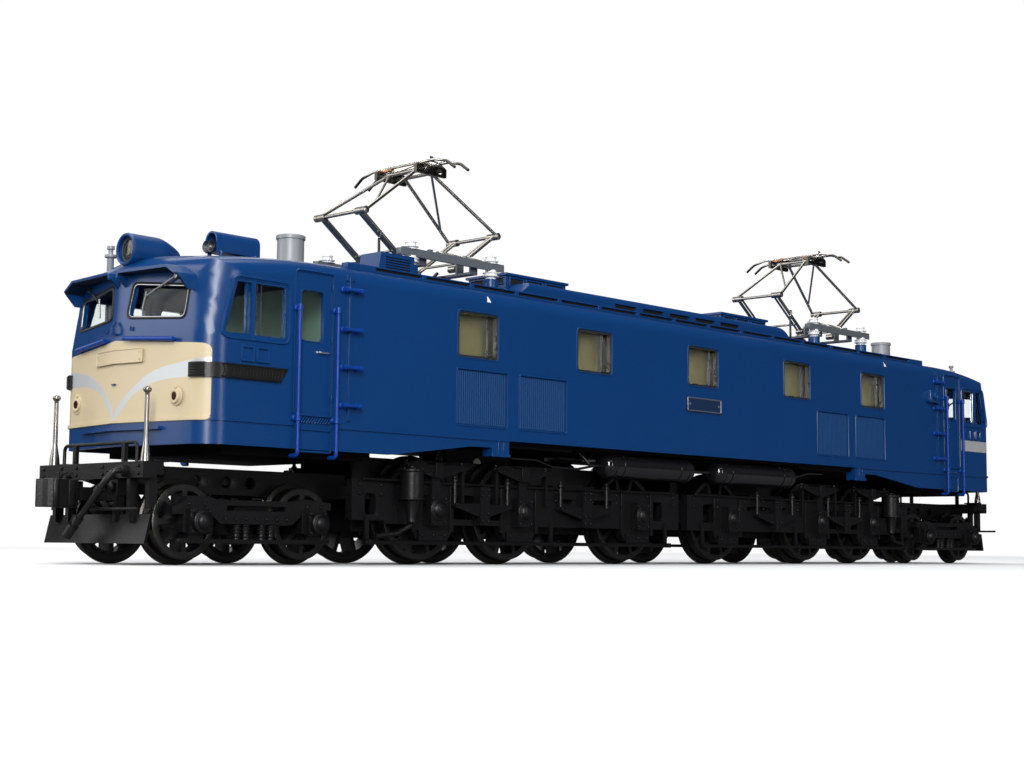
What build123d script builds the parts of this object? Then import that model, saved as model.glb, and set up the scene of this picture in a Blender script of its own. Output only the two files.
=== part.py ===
"""Model electric locomotive, 1:80 scale on 16.5 mm gauge, with a 2-C+C-2 wheel arrangement.

Frame: +X runs along the loco, -X is the leading cab, +Z is up, the origin lies midway
between the two ends on the plane of the flange tips.  All sizes are millimetres.
Heights are built up from rail, the height of the rail head where the treads roll.
Pieces of the front end are made first and the rear end is their mirror image.
"""
from build123d import *
from math import atan, cos, radians, sin, sqrt
import os

os.makedirs("parts", exist_ok=True)

# ---------------------------------------------------------------- wheels and track
flange_depth = 0.7
rail = flange_depth            # rail head above the flange tips
back_to_back = 14.5
tyre_width = 2.8
flange_width = 0.75
driver_r = 7.8                 # radius on the tread
carrier_r = 5.25
driver_x = (63.97, 44.25, 13.63)     # distance of each axle from mid length
carrier_x = (108.25, 87.6)
axle_r = 1.0
journal_r = 0.9
running_gap = 0.05             # radial gap of every shaft in its bearing
wheel_face = back_to_back / 2 + tyre_width
driver_z = rail + driver_r
carrier_z = rail + carrier_r

# ---------------------------------------------------------------- body shell
body_half = 17.5
wall = 0.9
crease_x = 113.45              # centre line of the pointed nose
nose_slope = 0.163             # how fast each nose face falls back from the crease
lean_slope = 0.216             # the same at lean_top
lean_back = 1.2                # crease moved back at lean_top
corner_r = 4.0
lean_corner_r = 6.5
belt_z = rail + 30.3           # below it the nose is upright, above it leans back
lean_top = rail + 46.0
eave_z = rail + 42.2
apex_z = rail + 44.2
shoulder_r = 2.6
dome_x = 88.0                  # the roof bends down from here to each nose
dome_drop = 2.5                # and is this much lower where the nose begins
brow_r = 2.5                   # rounding from the roof into each nose face
skirt_z = rail + 15.6
taper_x = (76.9, 59.8)         # the skirt rises between these two distances
taper_z = rail + 17.7
sill_x = 51.5
sill_z = rail + 18.9
bead_depth = 0.25
bead_height = 0.45
bracket_x = 4.0

# ---------------------------------------------------------------- openings
window_x = (-58.8, -30.6, 0.0, 30.6, 58.8)
window_half = 4.53
window_z = (rail + 31.5, rail + 38.7)
window_r = 0.7
cab_window = ((108.2, 30.5), (106.1, 38.4), (97.0, 38.4), (97.0, 30.5))
cab_bar_x = (102.7, 103.4)
door_x = (88.7, 95.6)
door_z = (rail + 14.9, rail + 40.8)
door_window_x = (90.3, 94.4)
door_window_z = (rail + 31.0, rail + 38.2)
shield = ((1.8, 33.5), (12.8, 32.8), (13.0, 37.4), (2.5, 38.4))   # distance from centre, height
louvre_x = ((37.8, 49.2), (52.1, 63.4))
louvre_z = (rail + 20.9, rail + 29.6)
recess = 0.3
pane = 0.4
pane_lap = 0.6                 # pane beyond its opening, all round
trim_w = 0.35                  # metal edge round each side window

# ---------------------------------------------------------------- chassis and drive
floor_z = rail + 18.0
floor_t = 1.6
floor_half = 15.5
drive_z = rail + 23.0          # motor, cardan shafts and worms lie on this line
motor_r = 6.1
motor_half = 13.0
flywheel_x = (15.6, 23.2)
shaft_r = 0.8
worm_r = 1.9
axle_gear_r = 3.1
driven_x = driver_x[1]
tower_gear_r = (drive_z - worm_r - driver_z - axle_gear_r) / 2
tower_gear_z = driver_z + axle_gear_r + tower_gear_r
mesh_gap = 0.06                # between the rims of two plain gear discs
tower_x = (36.6, 51.4)
tower_y = (2.3, 3.3)           # inner and outer face of the gear tower cheeks
tower_top = drive_z + 3.0
cup_x = (32.6, 35.2)
pivot_x = 28.75                # main truck turns about this line
pivot_r = 1.5
bolster_x = (23.4, 34.2)
bolster_z = (rail + 9.4, rail + 12.6)
lead_pivot_x = 97.9
lead_pivot_r = 1.2
lead_seat_z = rail + 10.6

# ---------------------------------------------------------------- trucks
side_y = (11.4, 12.8)          # inner and outer face of a side frame
frame_end = 80.4
frame_inner_end = 1.3
frame_top = rail + 12.0
frame_low = rail + 5.5
frame_nose_low = rail + 6.0
pedestal_low = rail + 3.4
box_y = 14.5                   # outer face of the axle boxes
spine_y = (4.8, 5.6)           # the two plates that carry the end beam
spine_top = rail + 12.9
beam_x = (114.8, 117.0)
beam_z = (rail + 10.9, rail + 13.1)
beam_half = 12.7
pole_x = 115.6
pole_y = 11.15
coupler_pivot_x = 113.0
coupler_pin_r = 0.9
coupler_z = rail + 8.9
coupler_x = 124.375            # pulling face: half of the length over couplers
plow_z = (rail + 2.2, rail + 6.1)
tank_r = 2.15
tank_y = -14.2
tank_z = rail + 16.2

# ---------------------------------------------------------------- pantographs
panto_x = 57.5
base_pivot_dx = 5.8
base_pivot_z = rail + 47.9
knee_dx = 15.0
knee_z = rail + 54.6
top_dx = 1.7
top_z = rail + 63.6
arm_y = 4.9
eye_y = (-1.2, 0.4)            # an eye's two faces, from its tube outwards
upper_knee_y = 5.75
upper_top_y = 3.2
arm_r = 0.32
upper_r = 0.28
pin_r = 0.3
eye_r = 0.6
open_pivot_slide = 0.34        # half of the slide of the open pivot under the head
open_pivot_gap = 0.12
support_dx = 9.1
support_y = 10.0


def save(piece, name):
    """Label a finished piece and write it as the STEP file of that name."""
    piece.label = name
    export_step(piece, f"parts/{name}.step")


def save_pair(piece, name, turned=False):
    """Save a piece of the front end, and for the rear end its mirror image or the piece turned round."""
    save(piece, f"front_{name}")
    save(piece.rotate(Axis.Z, 180) if turned else mirror(piece, about=Plane.YZ), f"rear_{name}")


def box(x, y, z, mode=Mode.ADD):
    """Box between two limits on each axis."""
    with BuildSketch(Plane.XY.offset(min(z))) as base:
        with Locations(((x[0] + x[1]) / 2, (y[0] + y[1]) / 2)):
            Rectangle(abs(x[1] - x[0]), abs(y[1] - y[0]))
    extrude(base.sketch, amount=abs(z[1] - z[0]), mode=mode)


def side_plate(points, y, mode=Mode.ADD):
    """Plate cut to an outline of (x, z) points, standing between two y faces."""
    with BuildSketch(Plane.XZ.offset(-max(y))) as face:
        with BuildLine():
            Polyline(*points, close=True)
        make_face()
    extrude(face.sketch, amount=abs(y[1] - y[0]), mode=mode)


def rod(a, b, r, mode=Mode.ADD):
    """Round bar from point a to point b."""
    axis = Vector(*b) - Vector(*a)
    with BuildSketch(Plane(origin=a, z_dir=axis)) as section:
        Circle(r)
    extrude(section.sketch, amount=axis.length, mode=mode)


def disc(x, z, y, r, mode=Mode.ADD):
    """Round disc, boss or hole about a crosswise axis, between two y faces."""
    rod((x, y[0], z), (x, y[1], z), r, mode)


def post(x, y, z, r, mode=Mode.ADD):
    """Upright round bar or hole between two heights."""
    rod((x, y, z[0]), (x, y, z[1]), r, mode)


def bent_rod(points, radii, r):
    """Round bar along straight runs joined by tangent arcs."""
    with BuildLine() as path:
        FilletPolyline(*points, radius=radii)
    with BuildSketch(path.line ^ 0) as section:
        Circle(r)
    sweep(section.sketch, path=path.line)


# ================================================================ body shell
def plan_section(z, crease, slope, radius, inset=0.0):
    """Plan outline of the body: straight sides, pointed nose and rounded corners at both ends."""
    half = body_half - inset
    tip = crease - inset
    side = tip - slope * half
    with BuildSketch(Plane.XY.offset(z)) as plan:
        with BuildLine():
            Polyline((tip, 0), (side, half), (-side, half), (-tip, 0),
                     (-side, -half), (side, -half), close=True)
        make_face()
        corners = [v for v in plan.vertices() if abs(v.Y) > half - 0.01]
        fillet(corners, max(radius - inset, 0.5))
    return plan.sketch


def nose_x(y, z):
    """Distance of the nose face from mid length at a place on it."""
    lean = max(z - belt_z, 0) / (lean_top - belt_z)
    return crease_x - lean_back * lean - (nose_slope + (lean_slope - nose_slope) * lean) * abs(y)


def roof_section(inset, low, x):
    """Cross-section of the body at x: upright walls under a shallow arched roof."""
    half = body_half - inset
    with BuildSketch(Plane.YZ.offset(x)) as section:
        with BuildLine():
            ThreePointArc((half, eave_z - inset), (0, apex_z - inset), (-half, eave_z - inset))
            Polyline((-half, eave_z - inset), (-half, low), (half, low), (half, eave_z - inset))
        make_face()
        fillet([v for v in section.vertices() if v.Y > low + 1], shoulder_r - inset * 0.6)
    return section.sketch


dome_length = crease_x - dome_x
dome_r = (dome_length ** 2 + dome_drop ** 2) / (2 * dome_drop)


def body_form(inset, low):
    """Solid outer form of the body with every face moved in by inset, starting at height low."""
    below = low - 2 * dome_drop
    with BuildPart() as roof_form:
        extrude(roof_section(inset, below, 0), amount=dome_x, both=True)
        # the same section carried round a wide arc towards each end
        revolve(roof_section(inset, below, dome_x),
                axis=Axis((dome_x, 0, apex_z - dome_r), (0, 1, 0)), revolution_arc=16)
        mirror(about=Plane.YZ)
    with BuildPart() as form:
        extrude(plan_section(low, crease_x, nose_slope, corner_r, inset), amount=belt_z - low)
        loft([plan_section(belt_z, crease_x, nose_slope, corner_r, inset),
              plan_section(lean_top, crease_x - lean_back, lean_slope, lean_corner_r, inset)],
             ruled=True)
        add(roof_form.part, mode=Mode.INTERSECT)
    return form.part


arch_r = (body_half ** 2 + (apex_z - eave_z) ** 2) / (2 * (apex_z - eave_z))


def roof_z(x, y):
    """Height of the roof over a place on the plan."""
    bend = max(abs(x) - dome_x, 0)
    return apex_z - arch_r + sqrt(arch_r ** 2 - y ** 2) - dome_r + sqrt(dome_r ** 2 - bend ** 2)


def brow_point(y):
    """Where the roof meets the leading nose face."""
    x = crease_x
    for _ in range(5):
        x = nose_x(y, roof_z(x, y))
    return Vector(-x, y, roof_z(x, y))


crest, flank = brow_point(0), brow_point(-13)
along = (flank - crest).normalized()
ahead = (Vector(-1, 0, 0) - along * -along.X).normalized()
dip = atan((-crest.X - dome_x) / dome_r)
lean = atan(lean_back / (lean_top - belt_z))
to_roof, to_face = Vector(-cos(dip), sin(dip)), Vector(sin(lean), -cos(lean))
opening = radians(to_roof.get_angle(to_face)) / 2
reach = brow_r * cos(opening) / sin(opening)
middle = (to_roof + to_face).normalized() * (brow_r / sin(opening) - brow_r)
with BuildPart() as brow_cut:
    # what is taken off one sharp edge between roof and nose to round it
    with BuildSketch(Plane(origin=flank + along * 3, x_dir=ahead, z_dir=-along)):
        with BuildLine():
            a, b = to_roof * reach, to_face * reach
            ThreePointArc(a, middle, b)
            Polyline(b, b + Vector(2, 0), Vector(2, 1.5), a + Vector(0, 1.5), a)
        make_face()
    extrude(amount=(flank - crest).length + 3.5)
    mirror(about=Plane.XZ)
    mirror(about=Plane.YZ)

outer_form = body_form(0.0, skirt_z) - brow_cut.part
inner_form = body_form(wall, skirt_z - 2)

with BuildPart() as body_shell:
    add(outer_form)
    # raised bead round the whole skirt
    extrude(plan_section(sill_z - 0.1, crease_x, nose_slope, corner_r, -bead_depth), amount=bead_height)
    # small step low on the nose, under the bead
    with BuildSketch(Plane.XY.offset(rail + 17.7)):
        with BuildLine():
            Polyline((crease_x + 0.7, 0), (crease_x + 0.7 - 9.5 * nose_slope, 9.5), (crease_x - 4, 9.5),
                     (crease_x - 4, -9.5), (crease_x + 0.7 - 9.5 * nose_slope, -9.5), close=True)
        make_face()
        mirror(about=Plane.YZ)
    extrude(amount=0.4)
    add(inner_form, mode=Mode.SUBTRACT)
    # lower edge of the skirt: level at the cabs, rising to the sill in the middle
    side_plate([(-taper_x[0], skirt_z - 3), (-taper_x[0], skirt_z), (-taper_x[1], taper_z),
                (-sill_x, taper_z), (-sill_x, sill_z), (sill_x, sill_z), (sill_x, taper_z),
                (taper_x[1], taper_z), (taper_x[0], skirt_z), (taper_x[0], skirt_z - 3)],
               (-body_half - 2, body_half + 2), mode=Mode.SUBTRACT)
    # machine room windows
    with BuildSketch(Plane.XZ):
        with Locations(*[(x, sum(window_z) / 2) for x in window_x]):
            RectangleRounded(2 * window_half, window_z[1] - window_z[0], window_r)
    extrude(amount=body_half + 2, both=True, mode=Mode.SUBTRACT)
    # cab side windows with a slanted front edge, and door windows
    with BuildSketch(Plane.XZ) as cab_openings:
        for end in (-1, 1):
            with BuildLine():
                Polyline(*[(end * x, rail + z) for x, z in cab_window], close=True)
            make_face()
            with Locations((end * sum(door_window_x) / 2, sum(door_window_z) / 2)):
                RectangleRounded(door_window_x[1] - door_window_x[0],
                                 door_window_z[1] - door_window_z[0], window_r)
        fillet([v for v in cab_openings.vertices() if abs(v.X) > door_x[1]], window_r)
    extrude(amount=body_half + 2, both=True, mode=Mode.SUBTRACT)
    # windscreens, cut along the loco through the nose faces
    for end in (-1, 1):
        with BuildSketch(Plane.YZ.offset(end * (crease_x - 7))) as screens:
            for hand in (-1, 1):
                with BuildLine():
                    Polyline(*[(hand * y, rail + z) for y, z in shield], close=True)
                make_face()
            fillet(screens.vertices(), window_r)
        extrude(amount=end * 10, mode=Mode.SUBTRACT)
    for hand in (-1, 1):
        for end in (-1, 1):
            outside, sunk = hand * (body_half + 1), hand * (body_half - recess)
            # door outline and louvre fields sunk into the outer face
            box((end * door_x[0], end * door_x[1]), (sunk, outside), door_z, mode=Mode.SUBTRACT)
            for x0, x1 in louvre_x:
                box((end * x0, end * x1), (sunk, outside), louvre_z, mode=Mode.SUBTRACT)
            # bar of the sliding cab window
            box((end * cab_bar_x[0], end * cab_bar_x[1]),
                (hand * (body_half - wall), hand * (body_half - 0.1)),
                (rail + cab_window[0][1] - 0.1, rail + cab_window[1][1] + 0.1))
            # bracket under the sill that holds the shell to the chassis
            box((end * sill_x, end * (sill_x + bracket_x)), (hand * floor_half, hand * body_half),
                (rail + 16.4, floor_z))
save(body_shell.part, "body_shell")

# ================================================================ glass and its metal edges
inner_y = body_half - wall


def trim_ring(points):
    """Thin metal edge that lines an opening of the -Y side given by its (x, z) corners."""
    with BuildSketch(Plane.XZ.offset(inner_y)) as outline:
        with BuildLine():
            Polyline(*points, close=True)
        make_face()
        fillet(outline.vertices(), window_r)
        offset(amount=-0.02, mode=Mode.REPLACE)
        offset(amount=-trim_w, mode=Mode.SUBTRACT)
    extrude(outline.sketch, amount=wall - 0.1)


with BuildPart() as wipers:
    # spindle, arm and blade on one windscreen of each end
    for end in (-1, 1):
        pivot = (end * (nose_x(10.6, rail + 38.8) + 0.5), -10.6, rail + 38.8)
        elbow = (end * (nose_x(5.7, rail + 36.2) + 0.6), -5.7, rail + 36.2)
        rod((pivot[0] - end * 2, pivot[1], pivot[2]), pivot, 0.35)
        rod((pivot[0] - end * 0.15, pivot[1], pivot[2]), elbow, 0.17)
        rod((elbow[0], -5.8, rail + 36.9), (end * (nose_x(5.2, rail + 34.1) + 0.55), -5.2, rail + 34.1), 0.14)
    add(outer_form, mode=Mode.SUBTRACT)
with BuildPart() as window_trim:
    for x in window_x:
        trim_ring([(x - window_half, window_z[0]), (x - window_half, window_z[1]),
                   (x + window_half, window_z[1]), (x + window_half, window_z[0])])
    for end in (-1, 1):
        trim_ring([(end * x, rail + z) for x, z in cab_window])
        box((end * 103.8, end * 104.05), (-inner_y - 0.5, -inner_y), (rail + 30.7, rail + 38.7))
    add(body_shell.part, mode=Mode.SUBTRACT)
    add(wipers.part)
    mirror(about=Plane.XZ)
save(window_trim.part, "window_trim")

thin_form = body_form(wall + pane, skirt_z)
with BuildPart() as glazing:
    # side panes behind every window of the -Y side
    for x in window_x:
        box((x - window_half - pane_lap, x + window_half + pane_lap), (-inner_y, -inner_y + pane),
            (window_z[0] - pane_lap, window_z[1] + pane_lap))
    for end in (-1, 1):
        side_plate([(end * 108.8, rail + 29.9), (end * 106.6, rail + 39.0), (end * 96.4, rail + 39.0),
                    (end * 96.4, rail + 29.9)], (-inner_y, -inner_y + pane))
        box((end * (door_window_x[0] - 0.5), end * (door_window_x[1] + 0.5)),
            (-inner_y, -inner_y + pane), (door_window_z[0] - 0.5, door_window_z[1] + 0.5))
    add(inner_form, mode=Mode.INTERSECT)
    mirror(about=Plane.XZ)
with BuildPart() as windscreens:
    # panes that follow the inner face of the nose
    for hand in (-1, 1):
        with BuildSketch(Plane.YZ.offset(-crease_x)):
            with BuildLine():
                Polyline(*[(hand * y, rail + z) for y, z in shield], close=True)
            make_face()
            offset(amount=pane_lap)
    extrude(amount=8)
    add(inner_form, mode=Mode.INTERSECT)
    add(thin_form, mode=Mode.SUBTRACT)
    mirror(about=Plane.YZ)
with BuildPart() as all_glass:
    add(glazing.part)
    add(windscreens.part)
save(all_glass.part, "glazing")

# ================================================================ cab front fittings
visor_t = 0.4
visor_lip = 1.0                # hood beyond the crease
with BuildPart() as sun_visors:
    # hood over each windscreen: level along the top, drooping at both ends
    with BuildSketch(Plane.YZ.offset(-crease_x - visor_lip)):
        with BuildLine():
            hood = FilletPolyline((-0.7, rail + 37.8), (-0.9, rail + 40.1), (-11.6, rail + 40.0),
                                  (-14.0, rail + 38.6), (-13.9, rail + 36.6), radius=0.7)
            offset(hood, amount=visor_t, side=Side.LEFT)
        make_face()
        mirror(about=Plane.YZ)
    extrude(amount=8)
    # the drooping end narrows downwards, and the lip falls back with the nose
    side_plate([(-crease_x - 2, rail + 39.0), (-crease_x - 0.3, rail + 39.0), (-crease_x + 2.2, rail + 36.3),
                (-crease_x - 2, rail + 36.3)], (-body_half, body_half), mode=Mode.SUBTRACT)
    with BuildSketch(Plane.XY.offset(rail + 36)):
        with BuildLine():
            Polyline((-crease_x - 2, 0), (-crease_x - visor_lip, 0), (-crease_x - visor_lip + 1.1, -14.6),
                     (-crease_x - 2, -14.6), close=True)
        make_face()
        mirror(about=Plane.XZ)
    extrude(amount=6, mode=Mode.SUBTRACT)
    add(outer_form, mode=Mode.SUBTRACT)
    mirror(about=Plane.YZ)
save(sun_visors.part, "sun_visors")

lamp_z = rail + 43.5
lamp_r = 2.35
lamp_x = crease_x - 1.25
lamp_rim = 0.45
lamp_well = 0.9
lamp_barrel = 4.5
lamp_length = 9.2
bezel_y, bezel_z, bezel_r = 12.0, rail + 22.1, 0.95
bezel_x = nose_x(bezel_y, bezel_z) + 0.5
bezel_rim = 0.35
with BuildPart() as lamp_casings:
    # headlight: short barrel that runs into the roof as a tapering tail
    with BuildSketch(Plane.XZ):
        with BuildLine():
            barrel_end = (-lamp_x + lamp_barrel, lamp_z + lamp_r)
            tail_end = (-lamp_x + lamp_length, lamp_z)
            Polyline(tail_end, (-lamp_x, lamp_z), (-lamp_x, lamp_z + lamp_r), barrel_end)
            Spline(barrel_end, (-lamp_x + 0.75 * lamp_length, lamp_z + 0.72 * lamp_r), tail_end,
                   tangents=((1, 0), (0.5, -1)))
        make_face()
    revolve(axis=Axis((0, 0, lamp_z), (1, 0, 0)))
    rod((-lamp_x - 1, 0, lamp_z), (-lamp_x + lamp_well, 0, lamp_z), lamp_r - lamp_rim, mode=Mode.SUBTRACT)
    # marker lamp bezels on the nose
    for y in (-bezel_y, bezel_y):
        rod((-bezel_x, y, bezel_z), (-bezel_x + 3, y, bezel_z), bezel_r)
        rod((-bezel_x - 1, y, bezel_z), (-bezel_x + 0.3, y, bezel_z), bezel_r - bezel_rim,
            mode=Mode.SUBTRACT)
    add(outer_form, mode=Mode.SUBTRACT)
    mirror(about=Plane.YZ)
save(lamp_casings.part, "lamp_casings")

with BuildPart() as lamp_lenses:
    rod((-lamp_x + lamp_well - 0.4, 0, lamp_z), (-lamp_x + lamp_well, 0, lamp_z), lamp_r - lamp_rim - 0.03)
    for y in (-bezel_y, bezel_y):
        rod((-bezel_x + 0.05, y, bezel_z), (-bezel_x + 0.3, y, bezel_z), bezel_r - bezel_rim - 0.03)
    add(outer_form, mode=Mode.SUBTRACT)
    mirror(about=Plane.YZ)
save(lamp_lenses.part, "lamp_lenses")

# ================================================================ roof
whistle_at = (109.3, 8.3)
vent_at = (85.6, -3.7)
vent_r = 2.05
inside_roof = rail + 40        # where roof fittings start before the roof form is cut away
with BuildPart() as roof_metalwork:
    # one whistle and one exhaust pot at each end
    for turn in (1, -1):
        x, y = -turn * whistle_at[0], turn * whistle_at[1]
        for r, z0, z1 in ((0.5, inside_roof, rail + 43.6), (0.85, rail + 43.6, rail + 44.0),
                          (0.35, rail + 44.0, rail + 44.8), (0.55, rail + 44.8, rail + 45.3)):
            post(x, y, (z0, z1), r)
        post(-turn * vent_at[0], vent_at[1], (inside_roof, rail + 48.7), vent_r)
    add(outer_form, mode=Mode.SUBTRACT)
save(roof_metalwork.part, "roof_metalwork")

monitor_top_x = 37.5
monitor_foot_x = 42.0
monitor_half = 9.5
monitor_top = rail + 47.0
hatch_x = (23.4, 38.9)
hatch_half = 4.5
hatch_top = rail + 48.8
blower_x = (68.2, 75.2)
blower_y = (8.0, 12.6)
blower_top = rail + 46.8
horn_x = (101.3, 93.5)
horn_y = (-6.4, -3.6)
horn_z = (rail + 44.0, rail + 45.7)
horn_t = 0.3
pedestal_top = rail + 46.0
with BuildPart() as roof_hoods:
    # long slotted monitor over the machine room, with sloped ends
    side_plate([(-monitor_foot_x, inside_roof), (-monitor_foot_x, rail + 43.8), (-monitor_top_x, monitor_top),
                (monitor_top_x, monitor_top), (monitor_foot_x, rail + 43.8), (monitor_foot_x, inside_roof)],
               (-monitor_half, monitor_half))
    long_edges = [e for e in roof_hoods.edges().filter_by(Axis.X) if e.center().Z > monitor_top - 0.1]
    fillet(long_edges, 1.2)
    for hand in (-1, 1):
        # air slots along the monitor side
        for x in (-12.5, -4.5, 3.5, 11.5, 19.5):
            box((x - 3.1, x + 3.1), (hand * (monitor_half - 0.7), hand * (monitor_half + 1)),
                (rail + 45.0, rail + 45.8), mode=Mode.SUBTRACT)
    for end in (-1, 1):
        # low hatch on each end of the monitor
        box((end * hatch_x[0], end * hatch_x[1]), (-hatch_half, hatch_half), (inside_roof, hatch_top))
        # blower hood with sloped ends, on the -Y side at the front and the +Y side at the rear
        side_plate([(end * (blower_x[1] + 1.2), inside_roof), (end * blower_x[1], blower_top),
                    (end * blower_x[0], blower_top), (end * blower_x[0], inside_roof)],
                   (end * blower_y[0], end * blower_y[1]))
        for n in range(5):
            z = rail + 44.4 + 0.4 * n
            box((end * 69.0, end * 74.2), (end * (blower_y[1] - 0.3), end * (blower_y[1] + 1)),
                (z, z + 0.2), mode=Mode.SUBTRACT)
        # pedestals of the pantograph insulators
        for dx in (-support_dx, support_dx):
            for y in (-support_y, support_y):
                post(end * panto_x + dx, y, (inside_roof, pedestal_top), 1.2)
    # arched horn cover on four short feet, front end only
    with BuildSketch(Plane.YZ.offset(-horn_x[0])):
        with BuildLine():
            Polyline((horn_y[0], horn_z[1]), (horn_y[0], horn_z[0]), (horn_y[1], horn_z[0]),
                     (horn_y[1], horn_z[1]))
            ThreePointArc((horn_y[1], horn_z[1]), (sum(horn_y) / 2, horn_z[1] + (horn_y[1] - horn_y[0]) / 2),
                          (horn_y[0], horn_z[1]))
        make_face()
        offset(amount=-horn_t, mode=Mode.SUBTRACT)
    extrude(amount=horn_x[0] - horn_x[1])
    for x in (-horn_x[0] + 0.8, -horn_x[1] - 0.8):
        for y in horn_y:
            post(x, y, (inside_roof, horn_z[0] + 0.2), 0.3)
    add(outer_form, mode=Mode.SUBTRACT)
save(roof_hoods.part, "roof_hoods")

walk_y = (13.6, 15.0)
walk_top = rail + 43.8
walk_end = 84.0
walk_pitch = 10.5
with BuildPart() as walkways:
    # running board along each roof edge, with a dark slot between its brackets
    box((-walk_end, walk_end), (-walk_y[1], -walk_y[0]), (inside_roof, walk_top))
    for n in range(-7, 8):
        box((n * walk_pitch - 4.8, n * walk_pitch + 4.8), (-walk_y[1] - 1, -walk_y[1] + 0.6),
            (walk_top - 0.65, walk_top - 0.2), mode=Mode.SUBTRACT)
    add(outer_form, mode=Mode.SUBTRACT)
    mirror(about=Plane.XZ)
save(walkways.part, "walkways")

# ================================================================ handrails, plates, strips
stand_off = 0.9
bar_r = 0.3
rung_z = (rail + 22.2, rail + 27.7, rail + 33.2, rail + 39.0)
rung_x = (83.8, 87.4)
with BuildPart() as handrails:
    y = -body_half - stand_off
    # upright rails on both sides of the cab door
    for x, top in ((-95.6, rail + 35.4), (-88.5, rail + 35.7)):
        bent_rod([(x, -body_half, top), (x, y, top), (x, y, rail + 14.6), (x, y + 1.5, rail + 14.6)],
                 0.6, bar_r)
        rod((x, -body_half, rail + 19.9), (x, y, rail + 19.9), 0.2)
    # ladder up to the roof
    for z in rung_z:
        for x in (-rung_x[1] + 0.4, -rung_x[0] - 0.4):
            rod((x, -body_half, z), (x, y, z), 0.25)
        rod((-rung_x[1], y, z), (-rung_x[0], y, z), 0.28)
    # grab rail across the nose face
    ends = [(-(nose_x(gy, gz) + 0.7), -gy, gz) for gy, gz in ((2.3, rail + 30.5), (11.8, rail + 29.9))]
    rod(ends[0], ends[1], bar_r)
    for gx, gy, gz in ((ends[0][0], ends[0][1] - 0.4, ends[0][2]), (ends[1][0], ends[1][1] + 0.4, ends[1][2])):
        rod((gx, gy, gz), (gx + 2, gy, gz), 0.22)
    add(outer_form, mode=Mode.SUBTRACT)
    mirror(about=Plane.XZ)
    mirror(about=Plane.YZ)
save(handrails.part, "handrails")

plate_t = 0.3
with BuildPart() as number_plates:
    # blank plate bent across each nose, and one on each side at mid length
    extrude(plan_section(rail + 27.2, crease_x, nose_slope, corner_r, -plate_t), amount=1.8)
    for hand in (-1, 1):
        box((-body_half - 200, body_half + 200), (hand * 5.5, hand * 30), (rail + 27, rail + 30),
            mode=Mode.SUBTRACT)
    box((-5.15, 5.15), (-body_half - plate_t, body_half + plate_t), (rail + 26.8, rail + 29.4))
    add(outer_form, mode=Mode.SUBTRACT)
save(number_plates.part, "number_plates")

strip_z = (rail + 24.6, rail + 26.6)
strip_t = 0.4
with BuildPart() as waist_strips:
    # ribbed strip that wraps each corner of the leading cab and ends slanted before the door
    extrude(plan_section(strip_z[0], crease_x, nose_slope, corner_r, -strip_t),
            amount=strip_z[1] - strip_z[0])
    side_plate([(-98.6, strip_z[0] - 1), (-98.6, strip_z[0]), (-97.0, strip_z[1]), (-97.0, strip_z[1] + 1),
                (150, strip_z[1] + 1), (150, strip_z[0] - 1)], (-body_half - 2, body_half + 2),
               mode=Mode.SUBTRACT)
    box((-150, 0), (-14.4, 14.4), (strip_z[0] - 1, strip_z[1] + 1), mode=Mode.SUBTRACT)
    add(outer_form, mode=Mode.SUBTRACT)
save(waist_strips.part, "waist_strips")

# ================================================================ inside the body
floor_top = floor_z + floor_t
with BuildPart() as inner_walls:
    # machine room side walls seen behind the windows
    box((-74, 74), (-14.4, -13.8), (floor_top, rail + 40.5))
    mirror(about=Plane.XZ)
save(inner_walls.part, "inner_walls")

with BuildPart() as cab_interiors:
    # rear bulkhead, desk on a raised floor, and two seats
    box((-86.6, -85.8), (-floor_half, floor_half), (floor_top, rail + 40.5))
    side_plate([(-86.6, floor_top), (-108.0, floor_top), (-109.4, rail + 30.0), (-107.6, rail + 31.4),
                (-105.0, rail + 31.4), (-104.6, rail + 21.4), (-86.6, rail + 21.4)], (-11.5, 11.5))
    for y in (-7.5, 7.5):
        box((-100.5, -96.5), (y - 2.2, y + 2.2), (rail + 21.4, rail + 27.0))
        box((-97.3, -96.5), (y - 2.2, y + 2.2), (rail + 27.0, rail + 32.5))
    mirror(about=Plane.YZ)
save(cab_interiors.part, "cab_interiors")

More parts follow.
